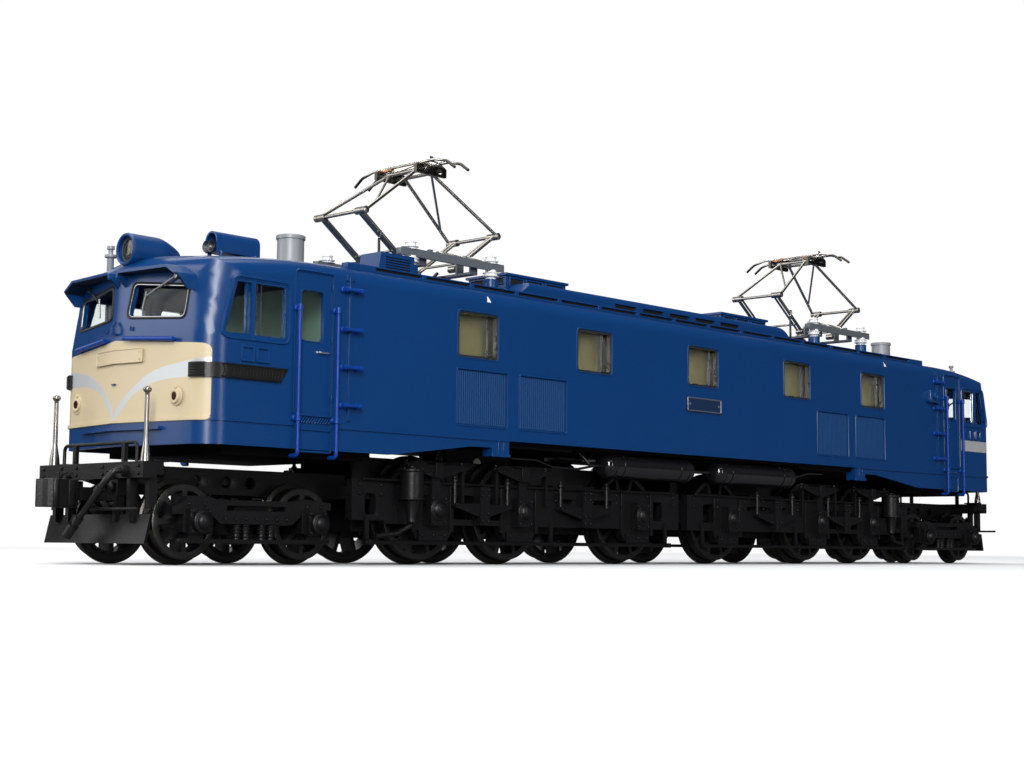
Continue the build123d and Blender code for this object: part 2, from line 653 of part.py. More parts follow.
tank_pocket = 0.5
with BuildPart() as chassis:
    # floor of the loco, open over the gear towers and hollowed above the air tanks
    box((-106, 106), (-floor_half + 1.5, floor_half - 1.5), (floor_z, floor_top))
    box((-76, 76), (-floor_half, floor_half), (floor_z, floor_top))
    for end in (-1, 1):
        box((end * (tower_x[0] - 3.5), end * (tower_x[1] + 3.5)), (-6.3, 6.3), (floor_z - 1, floor_top + 1),
            mode=Mode.SUBTRACT)
        # low pan under the cab
        box((end * 79, end * 105), (-13.5, 13.5), (rail + 14.6, floor_z))
    for hand in (-1, 1):
        box((-34, 34), (hand * 11.8, hand * (floor_half + 1)), (floor_z - 1, floor_z + tank_pocket),
            mode=Mode.SUBTRACT)
        # weight beams along both sides of the motor
        box((-72, 72), (hand * 8.0, hand * 12.5), (floor_top, rail + 31))
        # lugs that sit on the brackets of the shell
        for end in (-1, 1):
            box((end * (sill_x + 0.5), end * (sill_x + 3.5)), (hand * floor_half, hand * inner_y),
                (floor_z, floor_top))
    # motor cradle, with room for the flywheels
    box((-motor_half - 0.5, motor_half + 0.5), (-8, 8), (floor_z, drive_z - 1))
    rod((-flywheel_x[1] - 0.8, 0, drive_z), (flywheel_x[1] + 0.8, 0, drive_z), motor_r, mode=Mode.SUBTRACT)
    # pivot pins of the two main trucks: stand, pin and retaining head
    for end in (-1, 1):
        post(end * pivot_x, 0, (bolster_z[1], floor_z), 3.4)
        post(end * pivot_x, 0, (bolster_z[0] - 0.1, floor_z), pivot_r)
        post(end * pivot_x, 0, (bolster_z[0] - 0.9, bolster_z[0] - 0.1), 2.4)
save(chassis.part, "chassis")

with BuildPart() as motor:
    rod((-motor_half, 0, drive_z), (motor_half, 0, drive_z), motor_r - 0.02)
    # flats on top and bottom, and a bearing boss at each end
    box((-motor_half, motor_half), (-motor_r, motor_r), (drive_z - 4.9, drive_z + 4.9), mode=Mode.INTERSECT)
    rod((-motor_half - 1.2, 0, drive_z), (motor_half + 1.2, 0, drive_z), 2.2)
    rod((-motor_half - 2, 0, drive_z), (motor_half + 2, 0, drive_z), shaft_r + running_gap, mode=Mode.SUBTRACT)
save(motor.part, "motor")

with BuildPart() as drive_shaft:
    rod((-25.0, 0, drive_z), (25.0, 0, drive_z), shaft_r)
    for end in (-1, 1):
        rod((end * flywheel_x[0], 0, drive_z), (end * flywheel_x[1], 0, drive_z), motor_r - 0.5)
        # cardan shaft with a ball at its end, inside the cup of the worm
        rod((end * 25.0, 0, drive_z), (end * 34.0, 0, drive_z), 0.6)
        rod((end * 33.0, 0, drive_z), (end * 34.2, 0, drive_z), 0.95)
save(drive_shaft.part, "drive_shaft")

with BuildPart() as air_tanks:
    spans = ((-24.5, -0.7), (7.4, 32.1))
    for x0, x1 in spans:
        rod((x0, tank_y, tank_z), (x1, tank_y, tank_z), tank_r)
    fillet(air_tanks.edges().filter_by(GeomType.CIRCLE), 0.8)
    for x in (-20.5, -4.5, 11.2, 28.2):
        # strap round the tank and its hanger to the floor
        rod((x - 0.35, tank_y, tank_z), (x + 0.35, tank_y, tank_z), tank_r + 0.12)
        box((x - 0.35, x + 0.35), (tank_y - 0.5, tank_y + 0.9), (tank_z + 1.8, floor_z + tank_pocket))
    # pipes between the tanks and up to the floor
    rod((spans[0][1] - 0.2, tank_y, tank_z), (spans[1][0] + 0.2, tank_y, tank_z), 0.3)
    bent_rod([(spans[0][0] + 0.2, tank_y, tank_z), (spans[0][0] - 3.5, tank_y, tank_z),
              (spans[0][0] - 5.0, tank_y + 1.0, floor_z + tank_pocket - 0.3)], 1.0, 0.3)
    mirror(about=Plane.XZ)
save(air_tanks.part, "air_tanks")

# ================================================================ wheelsets
hub_r = 1.9
rim_w = 1.0
spoke_w = 0.75
journal_y = side_y[1] + 0.6


def wheelset(x, z, tread_r, spokes, gear_r=None):
    """Axle, two flanged wheels with open spokes and, on a driven axle, its gear disc."""
    with BuildPart() as wheels:
        for hand in (-1, 1):
            back = hand * back_to_back / 2
            disc(x, z, (back, back + hand * flange_width), tread_r + flange_depth)
            disc(x, z, (back + hand * flange_width, hand * wheel_face), tread_r)
        # wells between hub and rim, open right through between the spokes
        with BuildSketch(Plane.XZ.offset(-wheel_face - 1)) as wells:
            with Locations((x, z)):
                Circle(tread_r - rim_w)
                Circle(hub_r, mode=Mode.SUBTRACT)
                with PolarLocations((hub_r + tread_r - rim_w) / 2, spokes):
                    Rectangle(tread_r - rim_w - hub_r + 0.8, spoke_w, mode=Mode.SUBTRACT)
        extrude(wells.sketch, amount=2 * wheel_face + 2, mode=Mode.SUBTRACT)
        disc(x, z, (-wheel_face, wheel_face), axle_r)
        disc(x, z, (-journal_y, journal_y), journal_r)
        if gear_r:
            disc(x, z, (-1.5, 1.5), gear_r - mesh_gap / 2)
    return wheels.part


for number, x in enumerate(driver_x, 1):
    gear_r = axle_gear_r if x == driven_x else None
    save_pair(wheelset(-x, driver_z, driver_r, 10, gear_r), f"driver_{number}")
for number, x in enumerate(carrier_x, 1):
    save_pair(wheelset(-x, carrier_z, carrier_r, 8), f"carrier_{number}")

# ================================================================ main truck
pedestal = (3.2, 4.6)          # half widths of a pedestal at its foot and at the frame
outline = [(-frame_end, frame_top), (-frame_end, frame_nose_low), (-73.8, frame_nose_low),
           (-73.8, frame_low)]
for x in driver_x:
    outline += [(-x - pedestal[1], frame_low), (-x - pedestal[0], pedestal_low),
                (-x + pedestal[0], pedestal_low), (-x + pedestal[1], frame_low)]
outline += [(-frame_inner_end, frame_low), (-frame_inner_end, frame_top)]
frame_holes = [(-76.7, rail + 8.4, 2.2, 3.2, 0.6), (-54.1, rail + 8.3, 11.5, 3.8, 0.8),
               (-32.2, rail + 9.85, 3.0, 0.8, 0.3), (-24.0, rail + 9.85, 7.5, 0.8, 0.3),
               (-7.9, rail + 8.7, 3.4, 3.4, 0.6)]
with BuildPart() as truck_frame:
    # the two side frames, pierced between the wheels
    side_plate(outline, (side_y[0], side_y[1]))
    for x, z, w, h, r in frame_holes:
        with BuildSketch(Plane.XZ.offset(-side_y[1] - 1)) as hole:
            with Locations((x, z)):
                RectangleRounded(w, h, r)
        extrude(hole.sketch, amount=side_y[1] - side_y[0] + 2, mode=Mode.SUBTRACT)
    for x in driver_x:
        box((-x - 1.7, -x + 1.7), (side_y[1], box_y), (driver_z - 2.4, driver_z + 2.2))
    # one of the two spine plates that run forward to the end beam
    side_plate([(-75.5, rail + 9.2), (-75.5, spine_top), (-beam_x[0], spine_top),
                (-beam_x[0], rail + 11.0), (-108, rail + 9.2)], spine_y)
    for x in (-103.2, -lead_pivot_x, -93.6):
        disc(x, rail + 11.0, spine_y, 0.85, mode=Mode.SUBTRACT)
    # cheek of the gear tower and its sill
    box((-54.9, -bolster_x[0]), tower_y, bolster_z)
    box((-tower_x[1], -tower_x[0]), tower_y, (driver_z - 2.4, tower_top))
    mirror(about=Plane.XZ)
    # transoms between the side frames, clear of every wheel
    for x0, x1, z0, z1 in ((-frame_end, -73.6, rail + 9.2, rail + 11.0), (-54.9, -53.3, rail + 9.0, rail + 11.6),
                           (-bolster_x[1], -bolster_x[0], *bolster_z),
                           (-4.4, -frame_inner_end, rail + 6.8, rail + 11.0)):
        box((x0, x1), (-side_y[0], side_y[0]), (z0, z1))
    # end blocks of the tower, where the worm shaft runs
    for x0, x1 in ((-tower_x[1], -50.0), (-38.0, -tower_x[0])):
        box((x0, x1), (-tower_y[0], tower_y[0]), (drive_z - 1.6, tower_top))
    # cross plate with the pin that the leading truck turns on
    box((-lead_pivot_x - 3, -lead_pivot_x + 3), (-spine_y[0], spine_y[0]), (lead_seat_z, spine_top))
    post(-lead_pivot_x, 0, (rail + 6.5, lead_seat_z), lead_pivot_r)
    post(-lead_pivot_x, 0, (rail + 5.7, rail + 6.5), 1.9)
    # bracket with the pin that the coupler swings on
    box((-beam_x[0], -110.6), (-spine_y[0], spine_y[0]), (rail + 11.2, spine_top))
    post(-coupler_pivot_x, 0, (coupler_z - 1.0, rail + 11.2), coupler_pin_r)
    post(-coupler_pivot_x, 0, (coupler_z - 1.5, coupler_z - 1.0), 1.4)
    # bearings: worm shaft, tower gear, axles and truck pivot
    rod((-52, 0, drive_z), (-36, 0, drive_z), shaft_r + running_gap, mode=Mode.SUBTRACT)
    disc(-driven_x, tower_gear_z, (-4, 4), journal_r + running_gap, mode=Mode.SUBTRACT)
    disc(-driven_x, driver_z, (-4, 4), axle_r + 0.3, mode=Mode.SUBTRACT)
    for x in driver_x:
        disc(-x, driver_z, (-journal_y - 0.3, journal_y + 0.3), journal_r + running_gap, mode=Mode.SUBTRACT)
    post(-pivot_x, 0, (bolster_z[0] - 1, bolster_z[1] + 1), pivot_r + running_gap, mode=Mode.SUBTRACT)
save_pair(truck_frame.part, "truck_frame")

# springs, brake cylinders and rods hung on the outside of the side frames
face_y = -side_y[1]
cylinder_at = (-70.1, face_y - 2.0)
with BuildPart() as spring_gear:
    # brake cylinder with its cone, on a bracket
    post(*cylinder_at, (rail + 9.2, rail + 13.4), 1.8)
    post(*cylinder_at, (rail + 5.8, rail + 9.2), 0.6)
    post(*cylinder_at, (rail + 8.4, rail + 9.2), 1.1)
    box((-71.0, -69.2), (face_y - 0.5, face_y), (rail + 9.6, rail + 11.6))
    # leaf springs above the two outer axle boxes
    for x in driver_x[:2]:
        side_plate([(-x - 6.4, rail + 14.7), (-x + 6.4, rail + 14.7), (-x + 6.4, rail + 14.2),
                    (-x + 1.2, rail + 12.8), (-x - 1.2, rail + 12.8), (-x - 6.4, rail + 14.2)],
                   (face_y - 1.4, face_y - 0.2))
        box((-x - 0.9, -x + 0.9), (face_y - 1.0, face_y), (driver_z + 2.2, rail + 12.9))
        for dx in (-6.0, 6.0):
            box((-x + dx - 0.3, -x + dx + 0.3), (face_y - 0.9, face_y), (rail + 9.0, rail + 14.3))
    # springs slung under the frame between the axles
    for x in (-53.6, -28.6):
        side_plate([(x - 6.4, rail + 8.9), (x + 6.4, rail + 8.9), (x + 6.4, rail + 8.3),
                    (x + 1.2, rail + 6.9), (x - 1.2, rail + 6.9), (x - 6.4, rail + 8.3)],
                   (face_y - 1.4, face_y - 0.1))
        box((x - 1.1, x + 1.1), (face_y - 1.6, face_y), (rail + 5.6, rail + 11.6))
        for dx in (-6.0, 6.0):
            post(x + dx, face_y - 0.7, (rail + 8.8, rail + 12.6), 0.35)
            box((x + dx - 0.4, x + dx + 0.4), (face_y - 0.8, face_y), (rail + 11.2, rail + 11.8))
    # keeps under the axle boxes, and the brake rod along the bottom
    for x in driver_x:
        box((-x - 3.0, -x + 3.0), (face_y - 0.5, face_y), (rail + 3.0, rail + 4.6))
    rod((-78.5, face_y - 0.9, rail + 2.7), (-4.8, face_y - 0.9, rail + 2.7), 0.3)
    for x in (-77.6, -36.5, -5.6):
        box((x - 0.4, x + 0.4), (face_y - 1.3, face_y), (rail + 2.3, rail + 3.1))
        box((x - 0.4, x + 0.4), (face_y - 0.4, face_y), (rail + 3.1, rail + 6.6))
    mirror(about=Plane.XZ)
save_pair(spring_gear.part, "spring_gear")

with BuildPart() as worm:
    rod((-49.9, 0, drive_z), (-38.1, 0, drive_z), worm_r - mesh_gap / 2)
    rod((-51.8, 0, drive_z), (-cup_x[1], 0, drive_z), shaft_r)
    # cup that takes the ball of the cardan shaft
    rod((-cup_x[1], 0, drive_z), (-cup_x[0], 0, drive_z), 2.2)
    rod((-cup_x[1] + 0.6, 0, drive_z), (-cup_x[0] + 1, 0, drive_z), 1.5, mode=Mode.SUBTRACT)
save_pair(worm.part, "worm")

with BuildPart() as tower_gear:
    disc(-driven_x, tower_gear_z, (-1.5, 1.5), tower_gear_r - mesh_gap / 2)
    disc(-driven_x, tower_gear_z, (-tower_y[1], tower_y[1]), journal_r)
save_pair(tower_gear.part, "tower_gear")

with BuildPart() as end_beam:
    box((-beam_x[1], -beam_x[0]), (-beam_half, beam_half), beam_z)
    # uncoupling rod over the beam, on two brackets
    rod_x = -beam_x[0] - 0.6
    bent_rod([(rod_x, -8.9, beam_z[1] - 0.3), (rod_x, -8.9, rail + 15.8), (rod_x, 8.9, rail + 15.8),
              (rod_x, 8.9, beam_z[1] - 0.3)], 0.8, 0.25)
    for y in (-6.0, 6.0):
        box((rod_x - 0.3, rod_x + 0.3), (y - 0.35, y + 0.35), (beam_z[1], rail + 15.8))
    for hand in (-1, 1):
        # step and its hanger behind the beam, and a brake valve
        box((-beam_x[0], -beam_x[0] + 1.3), (hand * 9.4, hand * 12.4), (rail + 11.4, beam_z[1]))
        side_plate([(-beam_x[0] - 0.6, beam_z[0]), (-beam_x[0] + 0.7, beam_z[0]), (-beam_x[0] + 0.7, rail + 7.6),
                    (-beam_x[0], rail + 6.8), (-beam_x[0] - 0.6, rail + 6.8)], (hand * 10.9, hand * 11.9))
        rod((-beam_x[0], hand * 11.0, rail + 11.9), (-beam_x[0] + 2.0, hand * 11.0, rail + 11.9), 0.9)
save_pair(end_beam.part, "end_beam")

with BuildPart() as marker_poles:
    # turned post: conical foot, slim stem and a small cap
    for y in (-pole_y, pole_y):
        with BuildSketch(Plane.XZ.offset(-y)) as half:
            with BuildLine():
                Polyline((-pole_x, beam_z[1]), (-pole_x + 0.75, beam_z[1]), (-pole_x + 0.65, rail + 14.2),
                         (-pole_x + 0.34, rail + 16.0), (-pole_x + 0.30, rail + 22.3),
                         (-pole_x + 0.5, rail + 22.5), (-pole_x + 0.5, rail + 23.0),
                         (-pole_x, rail + 23.2), close=True)
            make_face()
        revolve(half.sketch, axis=Axis((-pole_x, y, 0), (0, 0, 1)))
save_pair(marker_poles.part, "marker_poles")

plow_t = 0.5
plow_plan = ((117.0, 0), (115.3, 12.2))
with BuildPart() as snow_plow:
    # V-shaped blade that leans forward at the foot
    blades = []
    for z, forward in ((plow_z[0], 0.9), (plow_z[1], 0.0)):
        with BuildSketch(Plane.XY.offset(z)) as blade:
            with BuildLine():
                front = [(-x - forward, y) for x, y in plow_plan]
                back = [(x + plow_t, y - 0.15 * (y > 0)) for x, y in front]
                Polyline(*front, *reversed(back), close=True)
            make_face()
            mirror(about=Plane.XZ)
        blades.append(blade.sketch)
    loft(blades, ruled=True)
    # stays up to the end beam
    for y in (-9.0, -5.8, 5.8, 9.0):
        box((-plow_plan[0][0] + 0.3, -plow_plan[1][0] - 0.1), (y - 0.4, y + 0.4), (plow_z[1] - 1.0, beam_z[0]))
save_pair(snow_plow.part, "snow_plow")

hose_r = 0.42
hose_route = ((-beam_x[1], -8.4, rail + 11.9), (-beam_x[1] - 1.5, -8.4, rail + 11.9),
              (-beam_x[1] - 2.3, -7.5, rail + 10.5), (-beam_x[1] - 3.2, -0.5, rail + 3.6))
with BuildPart() as brake_hose:
    # moulded hose: socket on the beam, ribbed sleeve and end coupling
    bent_rod(hose_route, (0.7, 1.2), hose_r)
    rod(hose_route[0], (-beam_x[1] - 0.7, -8.4, rail + 11.9), 0.8)
    lower = Vector(*hose_route[3]) - Vector(*hose_route[2])
    for start, end, r in ((0.12, 0.22, 0.62), (0.70, 0.80, 0.62), (0.86, 1.06, 0.68)):
        a, b = Vector(*hose_route[2]) + lower * start, Vector(*hose_route[2]) + lower * end
        rod(tuple(a), tuple(b), r)
save_pair(brake_hose.part, "brake_hose")

with BuildPart() as coupler:
    # shank on its swivel, plate behind the head, and the head with its knuckle
    box((-coupler_x + 3.2, -coupler_pivot_x), (-0.9, 0.9), (coupler_z - 0.9, coupler_z + 0.9))
    post(-coupler_pivot_x, 0, (coupler_z - 0.9, coupler_z + 0.9), 1.8)
    box((-coupler_x + 4.0, -coupler_x + 4.6), (-1.8, 1.8), (coupler_z - 2.0, coupler_z + 1.9))
    with BuildSketch(Plane.XY.offset(coupler_z - 1.9)):
        with BuildLine():
            Polyline((-coupler_x + 3.4, -1.9), (-coupler_x + 0.9, -2.1), (-coupler_x + 0.1, -1.5),
                     (-coupler_x, -0.4), (-coupler_x + 0.9, -0.2), (-coupler_x + 1.2, -0.8),
                     (-coupler_x + 1.9, -0.7), (-coupler_x + 1.9, 1.0), (-coupler_x + 0.5, 1.9),
                     (-coupler_x + 0.7, 2.5), (-coupler_x + 3.4, 1.9), close=True)
        make_face()
    extrude(amount=3.8)
    post(-coupler_pivot_x, 0, (coupler_z - 2, coupler_z + 2), coupler_pin_r + running_gap, mode=Mode.SUBTRACT)
save_pair(coupler.part, "coupler")

# ================================================================ leading truck
with BuildPart() as lead_truck:
    # gooseneck side frame: humps over the boxes, a slot and a dropped middle
    side_plate([(-112.2, rail + 6.2), (-112.2, rail + 7.3), (-110.8, rail + 7.6), (-109.6, rail + 8.7),
                (-106.8, rail + 8.7), (-104.6, rail + 8.3), (-91.4, rail + 8.3), (-89.4, rail + 8.7),
                (-84.4, rail + 8.3), (-84.4, rail + 7.2), (-85.6, rail + 7.2), (-85.6, rail + 3.8),
                (-89.8, rail + 3.8), (-89.8, rail + 6.4), (-91.6, rail + 5.0), (-104.2, rail + 5.0),
                (-106.0, rail + 6.4), (-106.0, rail + 3.8), (-110.4, rail + 3.8), (-110.4, rail + 6.2)],
               (-side_y[1], -side_y[0]))
    box((-103.2, -92.8), (-side_y[1] - 1, -side_y[0] + 1), (rail + 6.85, rail + 7.55), mode=Mode.SUBTRACT)
    for x in carrier_x:
        disc(-x, carrier_z, (-box_y, -side_y[1]), 1.5)
        box((-x - 1.7, -x + 1.7), (-box_y + 0.7, -side_y[1]), (carrier_z - 1.7, carrier_z + 1.7))
        box((-x - 1.2, -x + 1.2), (-side_y[1], -side_y[0]), (rail + 2.9, rail + 3.8))
    # tie bar and coil springs
    box((-111.4, -84.6), (-side_y[1], -side_y[0]), (rail + 2.3, rail + 2.9))
    for x in (-101.0, -99.4, -96.6, -95.0):
        post(x, -sum(side_y) / 2, (rail + 2.9, rail + 5.0), 0.55)
    mirror(about=Plane.XZ)
    # bolster with the pivot bearing
    box((-lead_pivot_x - 3, -lead_pivot_x + 3), (-side_y[0], side_y[0]), (rail + 6.6, rail + 8.2))
    post(-lead_pivot_x, 0, (rail + 6.6, lead_seat_z), 2.4)
    post(-lead_pivot_x, 0, (rail + 6, rail + 11), lead_pivot_r + running_gap, mode=Mode.SUBTRACT)
    for x in carrier_x:
        disc(-x, carrier_z, (-journal_y - 0.3, journal_y + 0.3), journal_r + running_gap, mode=Mode.SUBTRACT)
save_pair(lead_truck.part, "lead_truck")

# ================================================================ pantographs
with BuildPart() as panto_bases:
    # two long beams on the insulators, two cross plates with pivot ears, and spring cylinders
    for hand in (-1, 1):
        box((-panto_x - 11.6, -panto_x + 11.6), (hand * (support_y - 0.6), hand * (support_y + 0.6)),
            (rail + 47.6, rail + 48.6))
        rod((-panto_x - 2.6, hand * 9.2, rail + 48.8), (-panto_x + 7.4, hand * 9.2, rail + 48.8), 0.45)
    for dx in (-base_pivot_dx, base_pivot_dx):
        x = (-panto_x + dx - 0.8, -panto_x + dx + 0.8)
        box(x, (0.6 - support_y, support_y - 0.6), (rail + 46.5, rail + 46.9))
        for hand in (-1, 1):
            box(x, (hand * 5.85, hand * 6.2), (rail + 46.5, rail + 48.7))
            box(x, (hand * (support_y - 1), hand * (support_y - 0.6)), (rail + 46.5, rail + 48.2))
            disc(-panto_x + dx, base_pivot_z, (hand * (arm_y - 1.3), hand * 5.85), pin_r)
    mirror(about=Plane.YZ)
save(panto_bases.part, "panto_bases")

with BuildPart() as insulators:
    # post under each beam end, with a skirt, and a cap above the beam
    for dx in (-support_dx, support_dx):
        for y in (-support_y, support_y):
            for r, z0, z1 in ((0.8, pedestal_top, rail + 47.6), (1.1, rail + 46.6, rail + 47.0),
                              (0.85, rail + 48.6, rail + 49.4), (0.55, rail + 49.4, rail + 50.0)):
                post(-panto_x + dx, y, (z0, z1), r)
    mirror(about=Plane.YZ)
save(insulators.part, "insulators")

eye_bore = pin_r + running_gap


def lower_frame(side):
    """Pair of double lower arms; side -1 has its knees towards -X."""
    pivot = (-panto_x + side * base_pivot_dx, base_pivot_z)
    knee = (-panto_x + side * knee_dx, knee_z)
    with BuildPart() as arms:
        for hand in (-1, 1):
            inner, y = hand * (arm_y - 0.9), hand * arm_y
            rod((pivot[0], y, pivot[1]), (knee[0], y, knee[1]), arm_r)
            rod((pivot[0], inner, pivot[1]), (knee[0], inner, knee[1]), 0.22)
            for x, z in (pivot, knee):
                eye = (y + hand * eye_y[0], y + hand * eye_y[1])
                disc(x, z, eye, eye_r)
                disc(x, z, (eye[0] - hand, eye[1] + hand), eye_bore, mode=Mode.SUBTRACT)
        # cross tube that keeps the two arms together
        a = Vector(pivot[0], 0, pivot[1]) * 0.8 + Vector(knee[0], 0, knee[1]) * 0.2
        disc(a.X, a.Z, (-arm_y, arm_y), 0.22)
    return arms.part


def upper_frame(side):
    """Upper frame: knee shaft, two long tubes, one brace and the top cross tube."""
    knee = Vector(-panto_x + side * knee_dx, 0, knee_z)
    top = Vector(-panto_x + side * top_dx, 0, top_z)
    with BuildPart() as frame:
        disc(knee.X, knee.Z, (-upper_knee_y, upper_knee_y), pin_r)
        disc(top.X, top.Z, (-5.4, 5.4), pin_r)
        for hand in (-1, 1):
            foot = knee + Vector(0, hand * upper_knee_y, 0)
            disc(knee.X, knee.Z, (hand * (upper_knee_y - 0.35), hand * (upper_knee_y + 0.3)), eye_r)
            rod(tuple(foot), tuple(top + Vector(0, hand * upper_top_y, 0)), upper_r)
        # brace from low on one tube to the top of the other
        low = knee + Vector(0, side * upper_knee_y, 0)
        high = top + Vector(0, side * upper_top_y, 0)
        rod(tuple(low + (high - low) * 0.2), tuple(top - Vector(0, side * upper_top_y, 0)), 0.2)
    return frame.part


strip_dx = 1.55
strip_half = 6.6
with BuildPart() as panto_head:
    # two collector strips on tubes with down-turned horns
    for dx in (-strip_dx, strip_dx):
        x = -panto_x + dx
        for hand in (-1, 1):
            bent_rod([(x, 0, top_z + 1.2), (x, hand * 7.4, top_z + 1.2), (x, hand * 10.2, top_z + 0.5),
                      (x, hand * 12.0, top_z - 0.8)], (3.0, 2.2), 0.25)
        box((x - 0.45, x + 0.45), (-strip_half, strip_half), (top_z + 1.3, top_z + 1.8))
    # hanger plates with the pivot hole of one upper frame and the slot of the other
    for hand in (-1, 1):
        plate_y = (hand * 4.5, hand * 5.1)
        side_plate([(-panto_x - 3.4, top_z - 0.8), (-panto_x - 3.4, top_z + 0.6), (-panto_x - 2.2, top_z + 1.25),
                    (-panto_x + 2.2, top_z + 1.25), (-panto_x + 3.4, top_z + 0.6), (-panto_x + 3.4, top_z - 0.8)],
                   plate_y)
        disc(-panto_x - top_dx, top_z, (hand * 4, hand * 6), eye_bore, mode=Mode.SUBTRACT)
        with BuildSketch(Plane.XZ.offset(-max(plate_y) - 1)) as slot:
            with Locations((-panto_x + top_dx + open_pivot_slide, top_z)):
                SlotOverall(2 * (pin_r + open_pivot_gap + open_pivot_slide), 2 * (pin_r + open_pivot_gap))
        extrude(slot.sketch, amount=3, mode=Mode.SUBTRACT)
for name, piece in (("panto_lower_a", lower_frame(-1)), ("panto_lower_b", lower_frame(1)),
                    ("panto_upper_a", upper_frame(-1)), ("panto_upper_b", upper_frame(1)),
                    ("panto_head", panto_head.part)):
    save_pair(piece, name, turned=True)
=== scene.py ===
"""Looks of a 1:80 model electric locomotive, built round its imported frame.

Blender works in metres: -X is the leading cab, +Z is up, and the flange tips stand on z = 0.
The shapes below are in millimetres, with heights over the rail head, which is 0.7 mm higher.
"""
import bpy
import math
import numpy as np
from mathutils import Matrix, Vector


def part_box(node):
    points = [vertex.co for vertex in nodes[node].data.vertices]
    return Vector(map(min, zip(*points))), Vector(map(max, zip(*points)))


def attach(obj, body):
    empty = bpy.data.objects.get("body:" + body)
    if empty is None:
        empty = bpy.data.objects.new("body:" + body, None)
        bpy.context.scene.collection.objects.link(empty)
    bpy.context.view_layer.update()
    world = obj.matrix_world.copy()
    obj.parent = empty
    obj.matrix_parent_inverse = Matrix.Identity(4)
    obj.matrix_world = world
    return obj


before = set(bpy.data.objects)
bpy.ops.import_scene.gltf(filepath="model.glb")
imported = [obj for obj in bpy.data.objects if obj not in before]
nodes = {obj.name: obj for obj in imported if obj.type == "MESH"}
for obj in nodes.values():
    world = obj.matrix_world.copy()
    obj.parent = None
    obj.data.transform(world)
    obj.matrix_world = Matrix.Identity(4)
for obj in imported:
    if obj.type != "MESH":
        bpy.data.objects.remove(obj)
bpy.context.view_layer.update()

# ------------------------------------------------------------------ camera, floor and lights
# The view is from low beside the leading cab, looking slightly up along the whole length.
# The floor and backdrop are plain white to the lens; soft lamps light the loco evenly.
turn, lift, roll = math.radians(46.893), math.radians(5.538), math.radians(0.542)
stand = (-0.244554, -0.198658, 0.003089)
ahead = Vector((math.sin(turn) * math.cos(lift), math.cos(turn) * math.cos(lift), math.sin(lift)))
level = Vector((math.cos(turn), -math.sin(turn), 0))
over = level.cross(ahead)
right = level * math.cos(roll) + over * math.sin(roll)
upward = over * math.cos(roll) - level * math.sin(roll)
lens = bpy.data.cameras.new("lens")
lens.lens, lens.sensor_width = 58.62, 36.0
lens.clip_start, lens.clip_end = 0.005, 50
camera = bpy.data.objects.new("camera", lens)
bpy.context.scene.collection.objects.link(camera)
facing = Matrix((right, upward, -ahead)).transposed().to_4x4()
camera.matrix_world = Matrix.Translation(stand) @ facing
bpy.context.scene.camera = camera


class Tap:
    """One output in a material's node tree.  Arithmetic on taps adds Math nodes."""

    def __init__(self, tree, socket=None):
        self.tree, self.socket = tree, socket

    def feed(self, inputs, values):
        """Puts a tap or a plain value into each of the inputs named."""
        for key, value in dict(values).items():
            if isinstance(value, Tap):
                self.tree.links.new(value.socket, inputs[key])
            else:
                inputs[key].default_value = value

    def node(self, kind, settings=(), sockets=(), out=0):
        """A new node of that kind: its settings are set first, then its sockets are fed."""
        made = self.tree.nodes.new("ShaderNode" + kind)
        for key, value in dict(settings).items():
            if key == "points":
                curve = made.mapping.curves[0].points
                while len(curve) < len(value):
                    curve.new(0.5, 0.5)
                for point, at in zip(curve, value):
                    point.location = at
                made.mapping.update()
            else:
                setattr(made, key, value)
        self.feed(made.inputs, sockets)
        return Tap(self.tree, made.outputs[out])

    def math(self, operation, *values):
        return self.node("Math", {"operation": operation}, dict(enumerate(values)))

    def __add__(self, other): return self.math("ADD", self, other)
    def __sub__(self, other): return self.math("SUBTRACT", self, other)
    def __rsub__(self, other): return self.math("SUBTRACT", other, self)
    def __mul__(self, other): return self.math("MULTIPLY", self, other)
    def __truediv__(self, other): return self.math("DIVIDE", self, other)
    def __abs__(self): return self.math("ABSOLUTE", self)
    __radd__, __rmul__ = __add__, __mul__

    def root(self):
        """Its square root."""
        return self.math("SQRT", self)

    def part(self, axis):
        """One coordinate of this tap's vector: "x", "y" or "z"."""
        return self.node("SeparateXYZ", sockets={0: self}, out="xyz".index(axis))

    def above(self, edge, soft):
        """0 below edge and 1 above it, with a soft step of that width."""
        return self.node("MapRange", {"interpolation_type": "SMOOTHSTEP"},
                         {0: self, 1: edge - soft / 2, 2: edge + soft / 2, 3: 0.0, 4: 1.0})

    def blend(self, low, high):
        """Colour that goes from low to high as this tap goes from 0 to 1."""
        low, high = (end if isinstance(end, Tap) else (*end, 1) for end in (low, high))
        return self.node("Mix", {"data_type": "RGBA"}, {0: self, 6: low, 7: high}, out=2)


def new_surface(name):
    """A fresh material, the inputs of its Principled shader, and a tap on the Object position."""
    material = bpy.data.materials.new(name)
    material.use_nodes = True
    place = Tap(material.node_tree).node("TexCoord", out=3)
    return material, material.node_tree.nodes["Principled BSDF"].inputs, place


floor_half = 3.0
floor_mesh = bpy.data.meshes.new("floor")
floor_mesh.from_pydata([(x * floor_half, y * floor_half, 0) for x, y in ((-1, -1), (1, -1), (1, 1), (-1, 1))],
                       [], [(0, 1, 2, 3)])
floor = bpy.data.objects.new("floor", floor_mesh)
bpy.context.scene.collection.objects.link(floor)
floor_material, shader, place = new_surface("pale_floor")
# the floor is pale to the lens and dark to every other ray, so it throws little light back up
sight = place.node("LightPath", out=0)
place.feed(shader, {"Base Color": sight.blend((0.16, 0.16, 0.165), (0.82, 0.82, 0.82)), "Roughness": 0.8,
                    "Specular IOR Level": 0.05})
